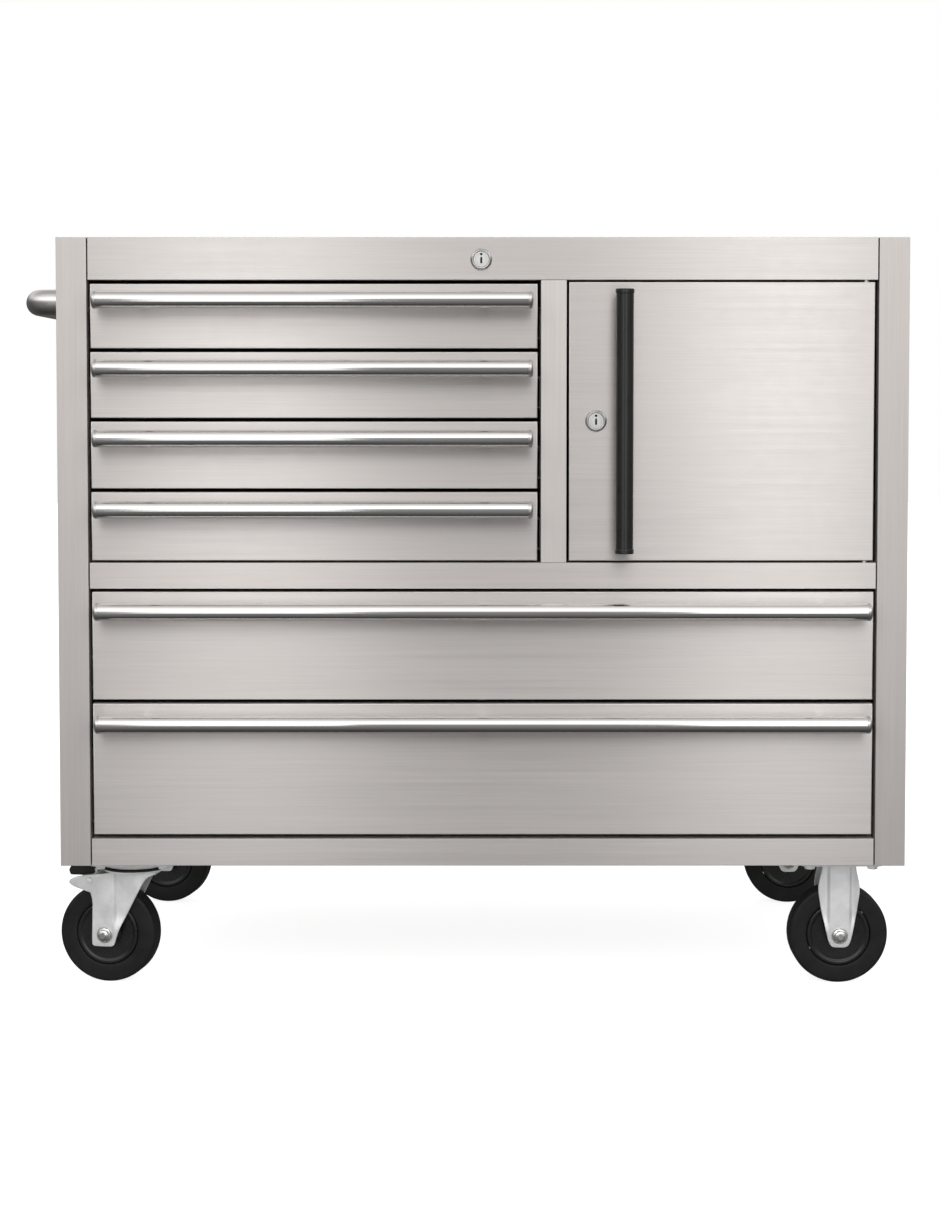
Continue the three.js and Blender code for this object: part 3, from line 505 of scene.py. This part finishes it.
def merge(bm, part, matrix):
    """Adds a bmesh to another one, moved by the matrix."""
    part.transform(matrix)
    mesh = bpy.data.meshes.new("part")
    part.to_mesh(mesh)
    part.free()
    bm.from_mesh(mesh)
    bpy.data.meshes.remove(mesh)


def add_hexagon(bm, place, axis, radius, height):
    """Hexagon of a nut or a bolt head with its corners turned off."""
    slim, chamfer = radius * 0.93, height * 0.16
    half = [(0, 0), (slim, 0), (radius, chamfer)]
    add_lathe(bm, [*half, *[(r, height - along) for r, along in reversed(half)]], place, axis, 6)


def add_rivets(bm, places, axis, radius, height):
    profile = [(radius * math.cos(a), height * math.sin(a)) for a in (0, 0.35, 0.7, 1.05, 1.35)]
    for place in places:
        add_lathe(bm, [(0, -height / 2), (radius, -height / 2), *profile, (0, height)], place, axis, 16)


# ---------------------------------------------------------------- cabinet

def make_side_panels():
    for side in ("left", "right"):
        node = f"{side}_side_panel"
        sheet_piece(f"{side}_post_and_side", node, POST_STEEL)


def make_rails():
    for node in ("top_rail", "middle_rail", "bottom_rail"):
        sheet_piece(f"{node}_sheet", node, RAIL_STEEL)
    sheet_piece("top_sheet", "top_panel", RAIL_STEEL)


def make_inner_sheets():
    for node in ("base_pan", "middle_deck", "left_slide_rack", "right_slide_rack"):
        inner_sheet_piece(f"{node}_steel", node, GALVANISED)
    inner_sheet_piece("divider_sheet", "centre_divider", POST_STEEL)


def make_back_panel():
    """Back sheet with a row of rivets along its top and its bottom."""
    sheet_piece("back_sheet", "back_panel", GREY_COAT)
    start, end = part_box("back_panel")
    inset, across = 30 * MM, 8  # across is the number of spaces in a row
    places = []
    for i in range(across + 1):
        x = start.x + inset + (end.x - start.x - 2 * inset) * i / across
        places += [Vector((x, end.y, start.z + inset)), Vector((x, end.y, end.z - inset))]
    bm = bmesh.new()
    add_rivets(bm, places, Y_AXIS, 3.2 * MM, 1.2 * MM)
    new_piece("back_rivets", bm, BRIGHT_ZINC, body_of("back_panel"))


# ---------------------------------------------------------------- drawers

def make_drawer_front(number):
    front_piece(f"drawer_{number}_face", f"drawer_{number}_front")


def make_tray(number):
    inner_sheet_piece(f"drawer_{number}_box", f"drawer_{number}_tray", GREY_COAT)


def add_bar_collars(bm, place, radius, length, collar):
    """Caps on both ends of a bar, each with a groove beside the bar."""
    groove = 0.5 * MM
    cap = [(0, 0), (radius - 2.6 * MM, 0), (radius, 2.2 * MM), (radius, collar - groove)]
    neck = [(radius - groove, collar - groove), (radius - groove, collar + groove), (0, collar + groove)]
    for end_place, axis in ((place, X_AXIS), (place + X_AXIS * length, -X_AXIS)):
        add_lathe(bm, softened(cap, 1.6 * MM, 4) + neck, end_place, axis, BAR_SIDES)


def add_bar_posts(bm, first, length, stand):
    """Posts from the drawer front to the bar; first is the point of the front at the bar's left end."""
    flange = POST_RADIUS + 1.5 * MM
    post = [(0, 0), (flange, 0), (flange, 0.8 * MM), (POST_RADIUS, 2.2 * MM), (POST_RADIUS, stand),
            (0, stand)]
    middle_post = [length / 2] if length > LONG_BAR else []
    for distance in [POST_FROM_END, length - POST_FROM_END, *middle_post]:
        add_lathe(bm, post, first + X_AXIS * distance, -Y_AXIS, POST_SIDES)


def make_drawer_pull(number):
    """Polished bar with duller end collars on round posts."""
    node = f"drawer_{number}_pull"
    body = body_of(node)
    start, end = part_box(node)
    radius = (end.z - start.z) / 2
    length = end.x - start.x
    place = Vector((start.x, start.y + radius, start.z + radius))
    collar = 5.6 * MM
    inner = length - collar
    bar = [(0, collar), (radius, collar), (radius, inner), (0, inner)]
    bm = bmesh.new()
    add_lathe(bm, softened(bar, 0.3 * MM), place, X_AXIS, BAR_SIDES)
    new_piece(f"drawer_{number}_bar", bm, BAR_STEEL, body, [node])
    bm = bmesh.new()
    add_bar_collars(bm, place, radius, length, collar)
    new_piece(f"drawer_{number}_bar_collars", bm, COLLAR_STEEL, body)
    bm = bmesh.new()
    add_bar_posts(bm, Vector((start.x, end.y, place.z)), length, end.y - place.y)
    new_piece(f"drawer_{number}_bar_posts", bm, BAR_STEEL, body)


# ---------------------------------------------------------------- door

def make_door():
    front_piece("door_face", "door_shell")
    inner_sheet_piece("door_back", "door_liner", GREY_COAT)


def make_pivots():
    for node in ("door_upper_pivot", "door_lower_pivot"):
        start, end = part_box(node)
        centre, radius = (start + end) / 2, (end.x - start.x) / 2
        half = (end.z - start.z) / 2
        bm = bmesh.new()
        profile = softened([(0, -half), (radius, -half), (radius, half), (0, half)], 1 * MM)
        add_lathe(bm, profile, centre, Z_AXIS, SMALL_SIDES)
        new_piece(f"{node}_pin", bm, BRIGHT_ZINC, body_of(node), [node])


def make_door_pull():
    """Black upright bar with wider ends, on two round posts."""
    node = "door_pull"
    body = body_of(node)
    start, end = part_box(node)
    cap_radius, radius, cap = (end.x - start.x) / 2, 11 * MM, 6 * MM
    length = end.z - start.z
    place = Vector((start.x + cap_radius, start.y + cap_radius, start.z))
    bm = bmesh.new()
    neck, groove = radius - 0.5 * MM, 0.8 * MM
    profile = [(0, 0), (cap_radius, 0), (cap_radius, cap), (neck, cap), (neck, cap + groove),
               (radius, cap + groove)]
    rising = softened(profile, 1.0 * MM)
    falling = [(r, length - z) for r, z in reversed(rising)]
    add_lathe(bm, [*rising, *falling], place, Z_AXIS, BAR_SIDES)
    stand = end.y - place.y
    flange = POST_RADIUS + 2 * MM
    post = [(0, 0), (POST_RADIUS, 0), (POST_RADIUS, stand - 2 * MM), (flange, stand - 1.2 * MM),
            (flange, stand), (0, stand)]
    for distance in (POST_FROM_END, length - POST_FROM_END):
        add_lathe(bm, post, Vector((place.x, place.y, start.z + distance)), Y_AXIS, POST_SIDES)
    new_piece("door_tube_pull", bm, BLACK_SATIN, body, [node])


# ---------------------------------------------------------------- locks

def make_bezel(name, centre):
    """Sloping ring around the face, with the sleeve behind it."""
    node = f"{name}_housing"
    proud, back = 3.2 * MM, 22 * MM
    ring = [(7.3 * MM, -1.2 * MM), (LOCK_FACE, -1.2 * MM), (LOCK_FACE, 2.9 * MM),
            (LOCK_FACE + 0.7 * MM, proud), (LOCK_FACE + 1.3 * MM, proud), (LOCK_RIM, 1.2 * MM),
            (LOCK_RIM, 0.3 * MM), (9.5 * MM, 0.3 * MM), (9.5 * MM, -back), (7.3 * MM, -back)]
    bm = bmesh.new()
    add_lathe(bm, softened(ring, 0.4 * MM, 2, closed=True), centre, -Y_AXIS, LOCK_SIDES, closed=True)
    new_piece(f"{name}_bezel", bm, CHROME, body_of(node), [node])


def make_lock_face(name, centre, node):
    """Flat face with a shallow ring, and a slot with a pointed top and a dot sunk into it."""
    disc, tool = bmesh.new(), bmesh.new()
    face = in_mm([(0, 2.9), (6.6, 2.9), (6.9, 2.5), (7.2, 2.5), (7.5, 2.9), (9.3, 2.9), (9.75, 2.5),
                  (9.75, -0.6), (0, -0.6)])
    add_lathe(disc, face, centre, -Y_AXIS, LOCK_SIDES)
    dot = in_mm([(0, 0.6), (1.6, 0.6), (1.6, 5), (0, 5)])
    add_lathe(tool, dot, centre + Z_AXIS * 6.3 * MM, -Y_AXIS, 20)
    slot = in_mm([(-1.3, -5.2), (1.3, -5.2), (1.3, 1.6), (0, 3.8), (-1.3, 1.6)])
    add_prism(tool, softened(slot, 0.8 * MM, 2, closed=True), (-5 * MM, -0.6 * MM), upright(centre))
    new_piece(f"{name}_face", carved(disc, tool), SATIN_CHROME, body_of(node), [node])


def make_keyhole_shade(name, centre, node):
    """Black floor of the slot and the dot: painted shade inside the keyhole."""
    bm = bmesh.new()
    # the black backing and wells are painted shade at the floor of the slot and the dot
    backing = in_mm([(0, 0.5), (9, 0.5), (9, 0.7), (0, 0.7)])
    add_lathe(bm, backing, centre, -Y_AXIS, SMALL_SIDES)
    for low_z, high_z in ((-5.0, 0.6), (5.0, 7.6)):
        well = in_mm([(-1.25, low_z), (1.25, low_z), (1.25, high_z), (-1.25, high_z)])
        add_prism(bm, well, (-1.3 * MM, -0.5 * MM), upright(centre))
    new_piece(f"{name}_keyhole_shade", bm, PEDAL_BLACK, body_of(node))


def make_barrel(name, centre, node):
    """Round barrel behind the face, with the cam that hangs from its back end."""
    bm = bmesh.new()
    barrel = in_mm([(0, -25.9), (6.8, -25.9), (6.8, -0.8), (0, -0.8)])
    add_lathe(bm, barrel, centre, -Y_AXIS, SMALL_SIDES)
    half, reach = 6 * MM, centre.z - low(node).z
    cam = [(-half, half), (half, half), (half, -reach), (-half, -reach)]
    add_prism(bm, softened(cam, 5 * MM, 4, closed=True), (23.1 * MM, 25.9 * MM), upright(centre))
    new_piece(f"{name}_barrel_and_cam", bm, BRIGHT_ZINC, body_of(node))


def make_lock(name):
    """Cam lock: the bezel stays with its panel, and the face, the painted shade in the keyhole and the barrel
    turn.
    """
    start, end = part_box(f"{name}_housing")
    centre = Vector(((start.x + end.x) / 2, FRONT_Y, (start.z + end.z) / 2))
    make_bezel(name, centre)
    for make in (make_lock_face, make_keyhole_shade, make_barrel):
        make(name, centre, f"{name}_plug")


# ---------------------------------------------------------------- push handle

def add_level_tube(bm, path, height, radius, sides):
    """Round tube along a path in X and Y at one height, closed at both ends."""
    rings = []
    for i, point in enumerate(path):
        before, after = path[max(i - 1, 0)], path[min(i + 1, len(path) - 1)]
        along = (after - before).normalized()
        across = Vector((-along.y, along.x, 0))
        rings.append([bm.verts.new(Vector((point.x, point.y, height))
                                   + radius * (across * math.cos(a) + Z_AXIS * math.sin(a)))
                      for a in (FULL_TURN * k / sides for k in range(sides))])
    for first, second in zip(rings, rings[1:]):
        for k in range(sides):
            j = (k + 1) % sides
            bm.faces.new((first[k], first[j], second[j], second[k]))
    bm.faces.new(rings[0])
    bm.faces.new(rings[-1])


def make_push_handle():
    """Bent tube beside the left panel, with a flange at each end."""
    node = "push_handle"
    start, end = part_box(node)
    radius = (end.z - start.z) / 2
    height = (end.z + start.z) / 2
    axis_x, near, far = start.x + radius, start.y + radius, end.y - radius
    corner, flange_radius, sides = 28 * MM, radius + 5 * MM, 40
    path = softened([(end.x, near), (axis_x, near), (axis_x, far), (end.x, far)], corner, 12)
    bm = bmesh.new()
    add_level_tube(bm, path, height, radius, sides)
    flange = [(0, 0), (flange_radius, 0), (flange_radius, 2 * MM), (radius, 4 * MM), (0, 4 * MM)]
    for y in (near, far):
        add_lathe(bm, softened(flange, 0.8 * MM, 2), (end.x, y, height), -X_AXIS, sides)
    new_piece("push_handle_tube", bm, HANDLE_STEEL, body_of(node), [node])


# ---------------------------------------------------------------- casters

def caster_matrix(name):
    """Places a caster's own axes: x across the wheel, y along its axle, z up from the floor under it."""
    spin = joint(f"{name}_wheel_spin")
    along = Vector(spin["axis"]).normalized()
    across = along.cross(Z_AXIS)
    origin = Vector((spin["pos_m"][0], spin["pos_m"][1], 0))
    turn = Matrix((across, along, Z_AXIS)).transposed().to_4x4()
    return Matrix.Translation(origin) @ turn


def make_wheel_ring(name, piece, side, softening, material, node):
    """Ring about the axle from the (radius, distance from the wheel's middle) points of one side."""
    outer = softened(side, softening)
    mirrored = [(r, -y) for r, y in reversed(outer)]
    bm = bmesh.new()
    add_lathe(bm, [*outer, *mirrored], AXLE_CENTRE, Y_AXIS, WHEEL_SIDES, closed=True)
    bm.transform(caster_matrix(name))
    new_piece(f"{name}_{piece}", bm, material, body_of(node), [node])


def make_wheel(name):
    """Tyre with rounded shoulders on a dished resin core."""
    half, radius, seam = WHEEL_HALF_WIDTH, WHEEL_RADIUS, TYRE_SEAM
    side = [(seam, half - 3 * MM), (seam, half - 1.2 * MM), (seam + 2.2 * MM, half - 0.3 * MM),
            (seam + 9 * MM, half), (radius - 4 * MM, half - 0.3 * MM), (radius - 0.7 * MM, half - 2 * MM),
            (radius, half - 6 * MM)]
    make_wheel_ring(name, "tyre", side, 1.6 * MM, RUBBER, f"{name}_wheel_tread")
    hub, boss, bore = 18 * MM, 13 * MM, 6.3 * MM
    side = [(bore, hub), (boss, hub), (boss + 2.5 * MM, half - 3.2 * MM), (seam - 6.5 * MM, half - 2.2 * MM),
            (seam - 5 * MM, half - 0.6 * MM), (seam - 1.2 * MM, half - 0.6 * MM),
            (seam - 0.4 * MM, half - 3 * MM)]
    make_wheel_ring(name, "hub", side, 1.4 * MM, RESIN, f"{name}_wheel_core")


def pressed_step(x, z, edge, width):
    """Height of the pressed step: full up to the edge, and dropped beyond it on the upper leg."""
    upper = smooth_step((z - 66 * MM) / (26 * MM))
    return LEG_STEP * (1 - upper * smooth_step((x - edge) / width + 0.5))


def swivel_outline():
    """Leg with the pedal's ear at its upper left and a long slope down its right side."""
    lower = softened(in_mm([(13, 53.5), (11, 48.4), (-17, 48.4), (-17, 62), (-16, 107), (-19, 117.5)]),
                     5 * MM, 4)
    ear = softened(in_mm([(-19, 117.5), (-44, 125.5), (-49, 131.5), (-41, 137), (-14, 141)]), 6 * MM, 4)
    top = in_mm([(-14, 141), (12, 144), (64, 144), (64, 141.5)])
    right = softened(in_mm([(64, 141.5), (52, 136.5), (45, 123), (19, 72), (13, 53.5)]), 12 * MM, 4)
    return [*lower[:-1], *ear[:-1], *top[:-1], *right[:-1]]


def swivel_lift(x, z):
    """The left side of the leg stands forward of its right side, and the right edge leans back."""
    lean = 7 * MM * smooth_step((x - 36 * MM) / (30 * MM)) * smooth_step((z - 112 * MM) / (18 * MM))
    return LEG_INSIDE + pressed_step(x, z, 13.5 * MM, 3.8 * MM) - lean


def rigid_outline():
    """Leg that is widest near its top and narrows to the axle."""
    right = in_mm([(0, 48.4), (9.5, 48.4), (14, 55), (23.5, 98), (26.9, 122), (25.4, 134), (22, 146),
                   (21, 158.5)])
    half = softened(right, 6 * MM)
    return [*half, *[(-x, z) for x, z in reversed(half[1:])]]


def rigid_lift(x, z):
    """A flat rib down the middle stands forward of the two flanges, whose edges lean back."""
    lean = 2.2 * MM * smooth_step((abs(x) - 17 * MM) / (9 * MM)) * smooth_step((z - 84 * MM) / (20 * MM))
    return LEG_INSIDE + pressed_step(abs(x), z, 14 * MM, 4.2 * MM) - lean


def add_legs(bm, outline, lift):
    """The same pressed leg on both sides of the wheel."""
    for turn in (Matrix.Identity(4), Matrix.Scale(-1, 4, Y_AXIS)):
        merge(bm, pressed_sheet(outline, lift, LEG_SHEET), turn)


def add_plate(bm, centre):
    """Mounting plate with rounded corners, and the washers and heads of its four bolts."""
    corners, bolts = rectangle(52 * MM, 45 * MM), rectangle(40 * MM, 33 * MM)
    washer = in_mm([(0, 0), (9, 0), (9, 1.3), (0, 1.3)])
    underside = PLATE_TOP - PLATE_SHEET
    part = bmesh.new()
    add_prism(part, softened(corners, 9 * MM, 4, closed=True), (underside, PLATE_TOP), lying)
    round_edges(part, any_edge, 0.6 * MM, 2)
    for x, y in bolts:
        place = Vector((x, y, underside))
        add_lathe(part, washer, place, -Z_AXIS, SMALL_SIDES)
        add_hexagon(part, place, -Z_AXIS, 6.6 * MM, 5 * MM)
    merge(bm, part, Matrix.Translation(centre))


def make_swivel_plate(name):
    """Plate with its bearing race, and the kingpin's nut under it."""
    node = f"{name}_caster_plate"
    centre = floor_point(node)
    bm = bmesh.new()
    add_plate(bm, centre)
    race = [(0, 150.6), (33, 150.6), (41, 151.6), (43, 156), (36, 157), (0, 157)]
    add_lathe(bm, softened(in_mm(race), 1.2 * MM), centre, Z_AXIS, RACE_SIDES)
    new_piece(f"{name}_plate_and_race", bm, ZINC, body_of(node), [node])
    bm = bmesh.new()
    foot = centre + Z_AXIS * 140.4 * MM
    add_lathe(bm, in_mm([(0, 0), (10, 0), (10, 1.4), (0, 1.4)]), foot, -Z_AXIS, SMALL_SIDES)
    add_hexagon(bm, foot, -Z_AXIS, 9 * MM, 6 * MM)
    new_piece(f"{name}_kingpin_nut", bm, BRIGHT_ZINC, body_of(node))


def make_fork(name):
    """Two pressed legs under a crown, with the bearing cup and a black dust ring that is also painted shade
    for the gap under the race.
    """
    node = f"{name}_fork"
    body, place = body_of(node), caster_matrix(name)
    kingpin = X_AXIS * TRAIL
    bm = bmesh.new()
    add_legs(bm, swivel_outline(), swivel_lift)
    edge = LEG_INSIDE + 1 * MM
    half = [(2 * MM, edge), (64 * MM, edge - 6 * MM)]
    crown = [*[(x, -y) for x, y in half], *reversed(half)]
    add_prism(bm, crown, (141 * MM, 143.7 * MM), lying)
    cup = in_mm([(7, 141.2), (24, 141.2), (26, 144.4), (40, 145.6), (42.4, 147.4), (42.5, 149.6),
                 (40.5, 149.6), (30, 147), (7, 147)])
    add_lathe(bm, softened(cup, 0.7 * MM, 2, closed=True), kingpin, Z_AXIS, RACE_SIDES, closed=True)
    bm.transform(place)
    new_piece(f"{name}_pressed_fork", bm, ZINC, body, [node])
    bm = bmesh.new()
    # black ring: a dust ring that also paints the shade of the gap between the race and the cup
    ring = in_mm([(36, 148.3), (43.2, 148.3), (43.8, 149.4), (43.2, 150.5), (36, 150.5)])
    add_lathe(bm, softened(ring, 0.5 * MM, 2, closed=True), kingpin, Z_AXIS, RACE_SIDES, closed=True)
    bm.transform(place)
    new_piece(f"{name}_dust_ring_and_gap_shade", bm, PEDAL_BLACK, body)


def make_pedal_pad(name, node, half):
    """Black pad that fits between the fork's legs, with ribs across its top."""
    pad = in_mm([(-48, 138.2), (-50.5, 145), (-46, 151.3), (-24, 151.6), (-16, 149.5), (-15, 141),
                 (-30, 138.4)])
    bm = bmesh.new()
    add_prism(bm, softened(pad, 2.6 * MM, 4, closed=True), (-half, half), upright())
    round_edges(bm, lambda a, b: abs(a.y - b.y) < 0.01 * MM, 1.6 * MM, 3)
    for x in range(-44, -24, 4):
        rib = in_mm([(x - 0.9, 150.6), (x - 0.5, 152.3), (x + 0.5, 152.3), (x + 0.9, 150.6)])
        add_prism(bm, rib, (3 * MM - half, half - 3 * MM), upright())
    bm.transform(caster_matrix(name))
    new_piece(f"{name}_pedal_pad", bm, PEDAL_BLACK, body_of(node), [node])


def make_pedal_lever(name, node, half):
    """Steel lever of two cheeks that turns on a rivet through the ears of the fork."""
    lever = in_mm([(-30, 142), (-28, 133), (-25, 128), (-20, 126.5), (-15, 129), (-14, 133), (-12.5, 141),
                   (-11.5, 147), (-24, 147.5)])
    bm = bmesh.new()
    for side in (-1, 1):
        cheek = sorted((side * (half - 3 * MM), side * (half - 0.5 * MM)))
        add_prism(bm, softened(lever, 2 * MM, closed=True), cheek, upright())
    pivot = Vector((-20 * MM, 0, 132.6 * MM))
    reach = LEG_FACE + 0.4 * MM
    rivet = [(0, -2 * reach), (2.5 * MM, -2 * reach), (2.5 * MM, 0), (4.4 * MM, 0), (3.6 * MM, 1.1 * MM),
             (2.0 * MM, 1.5 * MM), (0, 1.6 * MM)]
    add_lathe(bm, rivet, pivot - Y_AXIS * reach, -Y_AXIS, POST_SIDES)
    bm.transform(caster_matrix(name))
    new_piece(f"{name}_pedal_lever", bm, ZINC, body_of(node))


def make_pedal(name):
    half = LEG_INSIDE - 1 * MM
    for make in (make_pedal_pad, make_pedal_lever):
        make(name, f"{name}_brake_pedal", half)


def make_rigid_bracket(name):
    """Fixed caster's plate and its two pressed legs in one."""
    node = f"{name}_caster_bracket"
    bm = bmesh.new()
    add_legs(bm, rigid_outline(), rigid_lift)
    bm.transform(caster_matrix(name))
    add_plate(bm, floor_point(node))
    new_piece(f"{name}_pressed_bracket", bm, ZINC, body_of(node), [node])


def make_axle(name):
    """Bolt through both legs, with a washer, a nut and the rounded bolt end on each side."""
    node = f"{name}_axle"
    washer = softened(in_mm([(0, -0.1), (10.3, -0.1), (10.3, 1.7), (0, 1.7)]), 0.4 * MM, 2)
    collar = in_mm([(0, 1.6), (8.6, 1.6), (8.6, 2.4), (6.5, 3.4), (6.5, 6.6), (5.2, 7.6), (0, 7.6)])
    bolt_end = in_mm([(0, -1.0), (4.6, -1.0), (4.6, 8.8), (3.9, 9.6), (0, 9.7)])
    bm = bmesh.new()
    for axis in (-Y_AXIS, Y_AXIS):
        face = AXLE_CENTRE + axis * LEG_FACE
        add_lathe(bm, washer, face, axis, 40)
        add_lathe(bm, collar, face, axis, SMALL_SIDES)
        add_hexagon(bm, face + axis * 1.7 * MM, axis, 8.4 * MM, 4.6 * MM)
        add_lathe(bm, bolt_end, face, axis, SMALL_SIDES)
    shank = [(0, -LEG_FACE), (5.8 * MM, -LEG_FACE), (5.8 * MM, LEG_FACE), (0, LEG_FACE)]
    add_lathe(bm, shank, AXLE_CENTRE, Y_AXIS, SMALL_SIDES)
    bm.transform(caster_matrix(name))
    new_piece(f"{name}_axle_bolt", bm, BRIGHT_ZINC, body_of(node), [node])


def make_casters():
    for name in (*SWIVEL_CASTERS, *RIGID_CASTERS):
        make_wheel(name)
        make_axle(name)
    for name in SWIVEL_CASTERS:
        make_swivel_plate(name)
        make_fork(name)
        make_pedal(name)
    for name in RIGID_CASTERS:
        make_rigid_bracket(name)


# ---------------------------------------------------------------- camera, floor and light

LENS, SENSOR_WIDTH = 69.96, 36.0  # millimetres
LENS_SHIFT = (-0.0018, -0.0769)
CAMERA_DOWN = 2.76  # degrees below level
CAMERA_REACH = 60
CAMERA_PLACE = (MIDDLE_X - 13.3 * MM, FRONT_Y - 2.960, 0.749)

STUDIO_STRENGTH = 2.25
STUDIO_FACING = (0.1, -0.8)  # the studio brightens between these values of the direction's Y
STUDIO_BACK = 0.42  # share of the brightness that is left behind the chest
# (sine of the elevation, brightness)
STUDIO_LEVELS = [(-1.0, 0.035), (-0.8, 0.055), (-0.5, 0.085), (-0.12, 0.115), (0.12, 0.15), (0.2, 0.25),
                 (0.36, 0.86), (0.5, 1.0), (0.75, 0.62), (1.0, 0.5)]
STRIP_LENGTH, STRIP_DISTANCE, STRIP_HEIGHT, STRIP_TARGET = 1.4, 1.5, 0.8, 0.7
# (name, place in X, target in X, width, power)
STRIPS = [("right_strip", 0.60, 0.45, 0.35, 2.1), ("left_strip", -0.42, -0.3, 0.4, 1.9)]
FLOOR_REACH, FLOOR_GREY, FLOOR_GLOW = 14, 0.5, 0.86


def make_camera():
    camera = bpy.data.objects.new("camera", bpy.data.cameras.new("camera"))
    bpy.context.scene.collection.objects.link(camera)
    camera.data.lens = LENS
    camera.data.sensor_width = SENSOR_WIDTH
    camera.data.shift_x, camera.data.shift_y = LENS_SHIFT
    camera.data.clip_end = CAMERA_REACH
    camera.location = CAMERA_PLACE
    camera.rotation_euler = (math.radians(90 - CAMERA_DOWN), 0, 0)
    bpy.context.scene.camera = camera


def make_area_light(name, place, target, size, power):
    light = bpy.data.objects.new(name, bpy.data.lights.new(name, "AREA"))
    light.data.shape = "RECTANGLE"
    light.data.size, light.data.size_y = size
    light.data.energy = power
    light.location = place
    light.rotation_euler = (Vector(target) - Vector(place)).to_track_quat("-Z", "Y").to_euler()
    bpy.context.scene.collection.objects.link(light)


def make_world():
    """Soft studio: brightest well above the horizon in front and dim below, seen as plain white."""
    world = bpy.data.worlds.new("studio")
    world.use_nodes = True
    tree = world.node_tree
    background, output = tree.nodes["Background"], tree.nodes["World Output"]
    direction = tree.nodes.new("ShaderNodeTexCoord").outputs["Generated"]
    split = add_node(tree, "SeparateXYZ", {"Vector": direction}).outputs
    ramp = add_node(tree, "ValToRGB", {"Fac": ranged(tree, split["Z"], (-1, 1), FULL)})
    facing = ranged(tree, split["Y"], STUDIO_FACING, (STUDIO_BACK, 1.0))
    stops = ramp.color_ramp.elements
    stops[0].position, stops[1].position = FULL
    for z, _ in STUDIO_LEVELS[1:-1]:
        stops.new((z + 1) / 2)
    for stop, (_, level) in zip(stops, STUDIO_LEVELS):
        stop.color = (level, level * 0.99, level * 0.98, 1)
    tree.links.new(ramp.outputs["Color"], background.inputs["Color"])
    strength = add_node(tree, "Math", {0: facing, 1: STUDIO_STRENGTH}, operation="MULTIPLY").outputs[0]
    tree.links.new(strength, background.inputs["Strength"])
    plain = add_node(tree, "Background", {"Color": (1, 1, 1, 1), "Strength": 1.0})
    seen = add_node(tree, "LightPath", {}).outputs["Is Camera Ray"]
    mix = add_node(tree, "MixShader", {0: seen, 1: background.outputs[0], 2: plain.outputs[0]})
    tree.links.new(mix.outputs[0], output.inputs["Surface"])
    bpy.context.scene.world = world


def make_floor():
    """White floor that takes soft shadows."""
    mesh = bpy.data.meshes.new("floor")
    mesh.from_pydata([(x, y, 0) for x, y in rectangle(FLOOR_REACH, FLOOR_REACH)], [], [(0, 1, 2, 3)])
    floor = bpy.data.objects.new("floor", mesh)
    bpy.context.scene.collection.objects.link(floor)
    floor.visible_glossy = False
    material, _, shader = new_material("floor")
    shader.inputs["Base Color"].default_value = (FLOOR_GREY, FLOOR_GREY, FLOOR_GREY, 1)
    shader.inputs["Roughness"].default_value = 0.9
    shader.inputs["Emission Color"].default_value = (1, 1, 1, 1)
    shader.inputs["Emission Strength"].default_value = FLOOR_GLOW
    mesh.materials.append(material)


def make_studio():
    bpy.context.scene.view_settings.view_transform = "Standard"
    make_world()
    for name, x, target_x, width, power in STRIPS:
        make_area_light(name, (x, FRONT_Y - STRIP_DISTANCE, STRIP_HEIGHT), (target_x, FRONT_Y, STRIP_TARGET),
                        (width, STRIP_LENGTH), power)
    make_floor()


make_side_panels()
make_rails()
make_inner_sheets()
make_back_panel()
for drawer in DRAWERS:
    make_drawer_front(drawer)
    make_tray(drawer)
    make_drawer_pull(drawer)
make_door()
make_pivots()
make_door_pull()
make_lock("top_lock")
make_lock("door_lock")
make_push_handle()
make_casters()
make_camera()
make_studio()
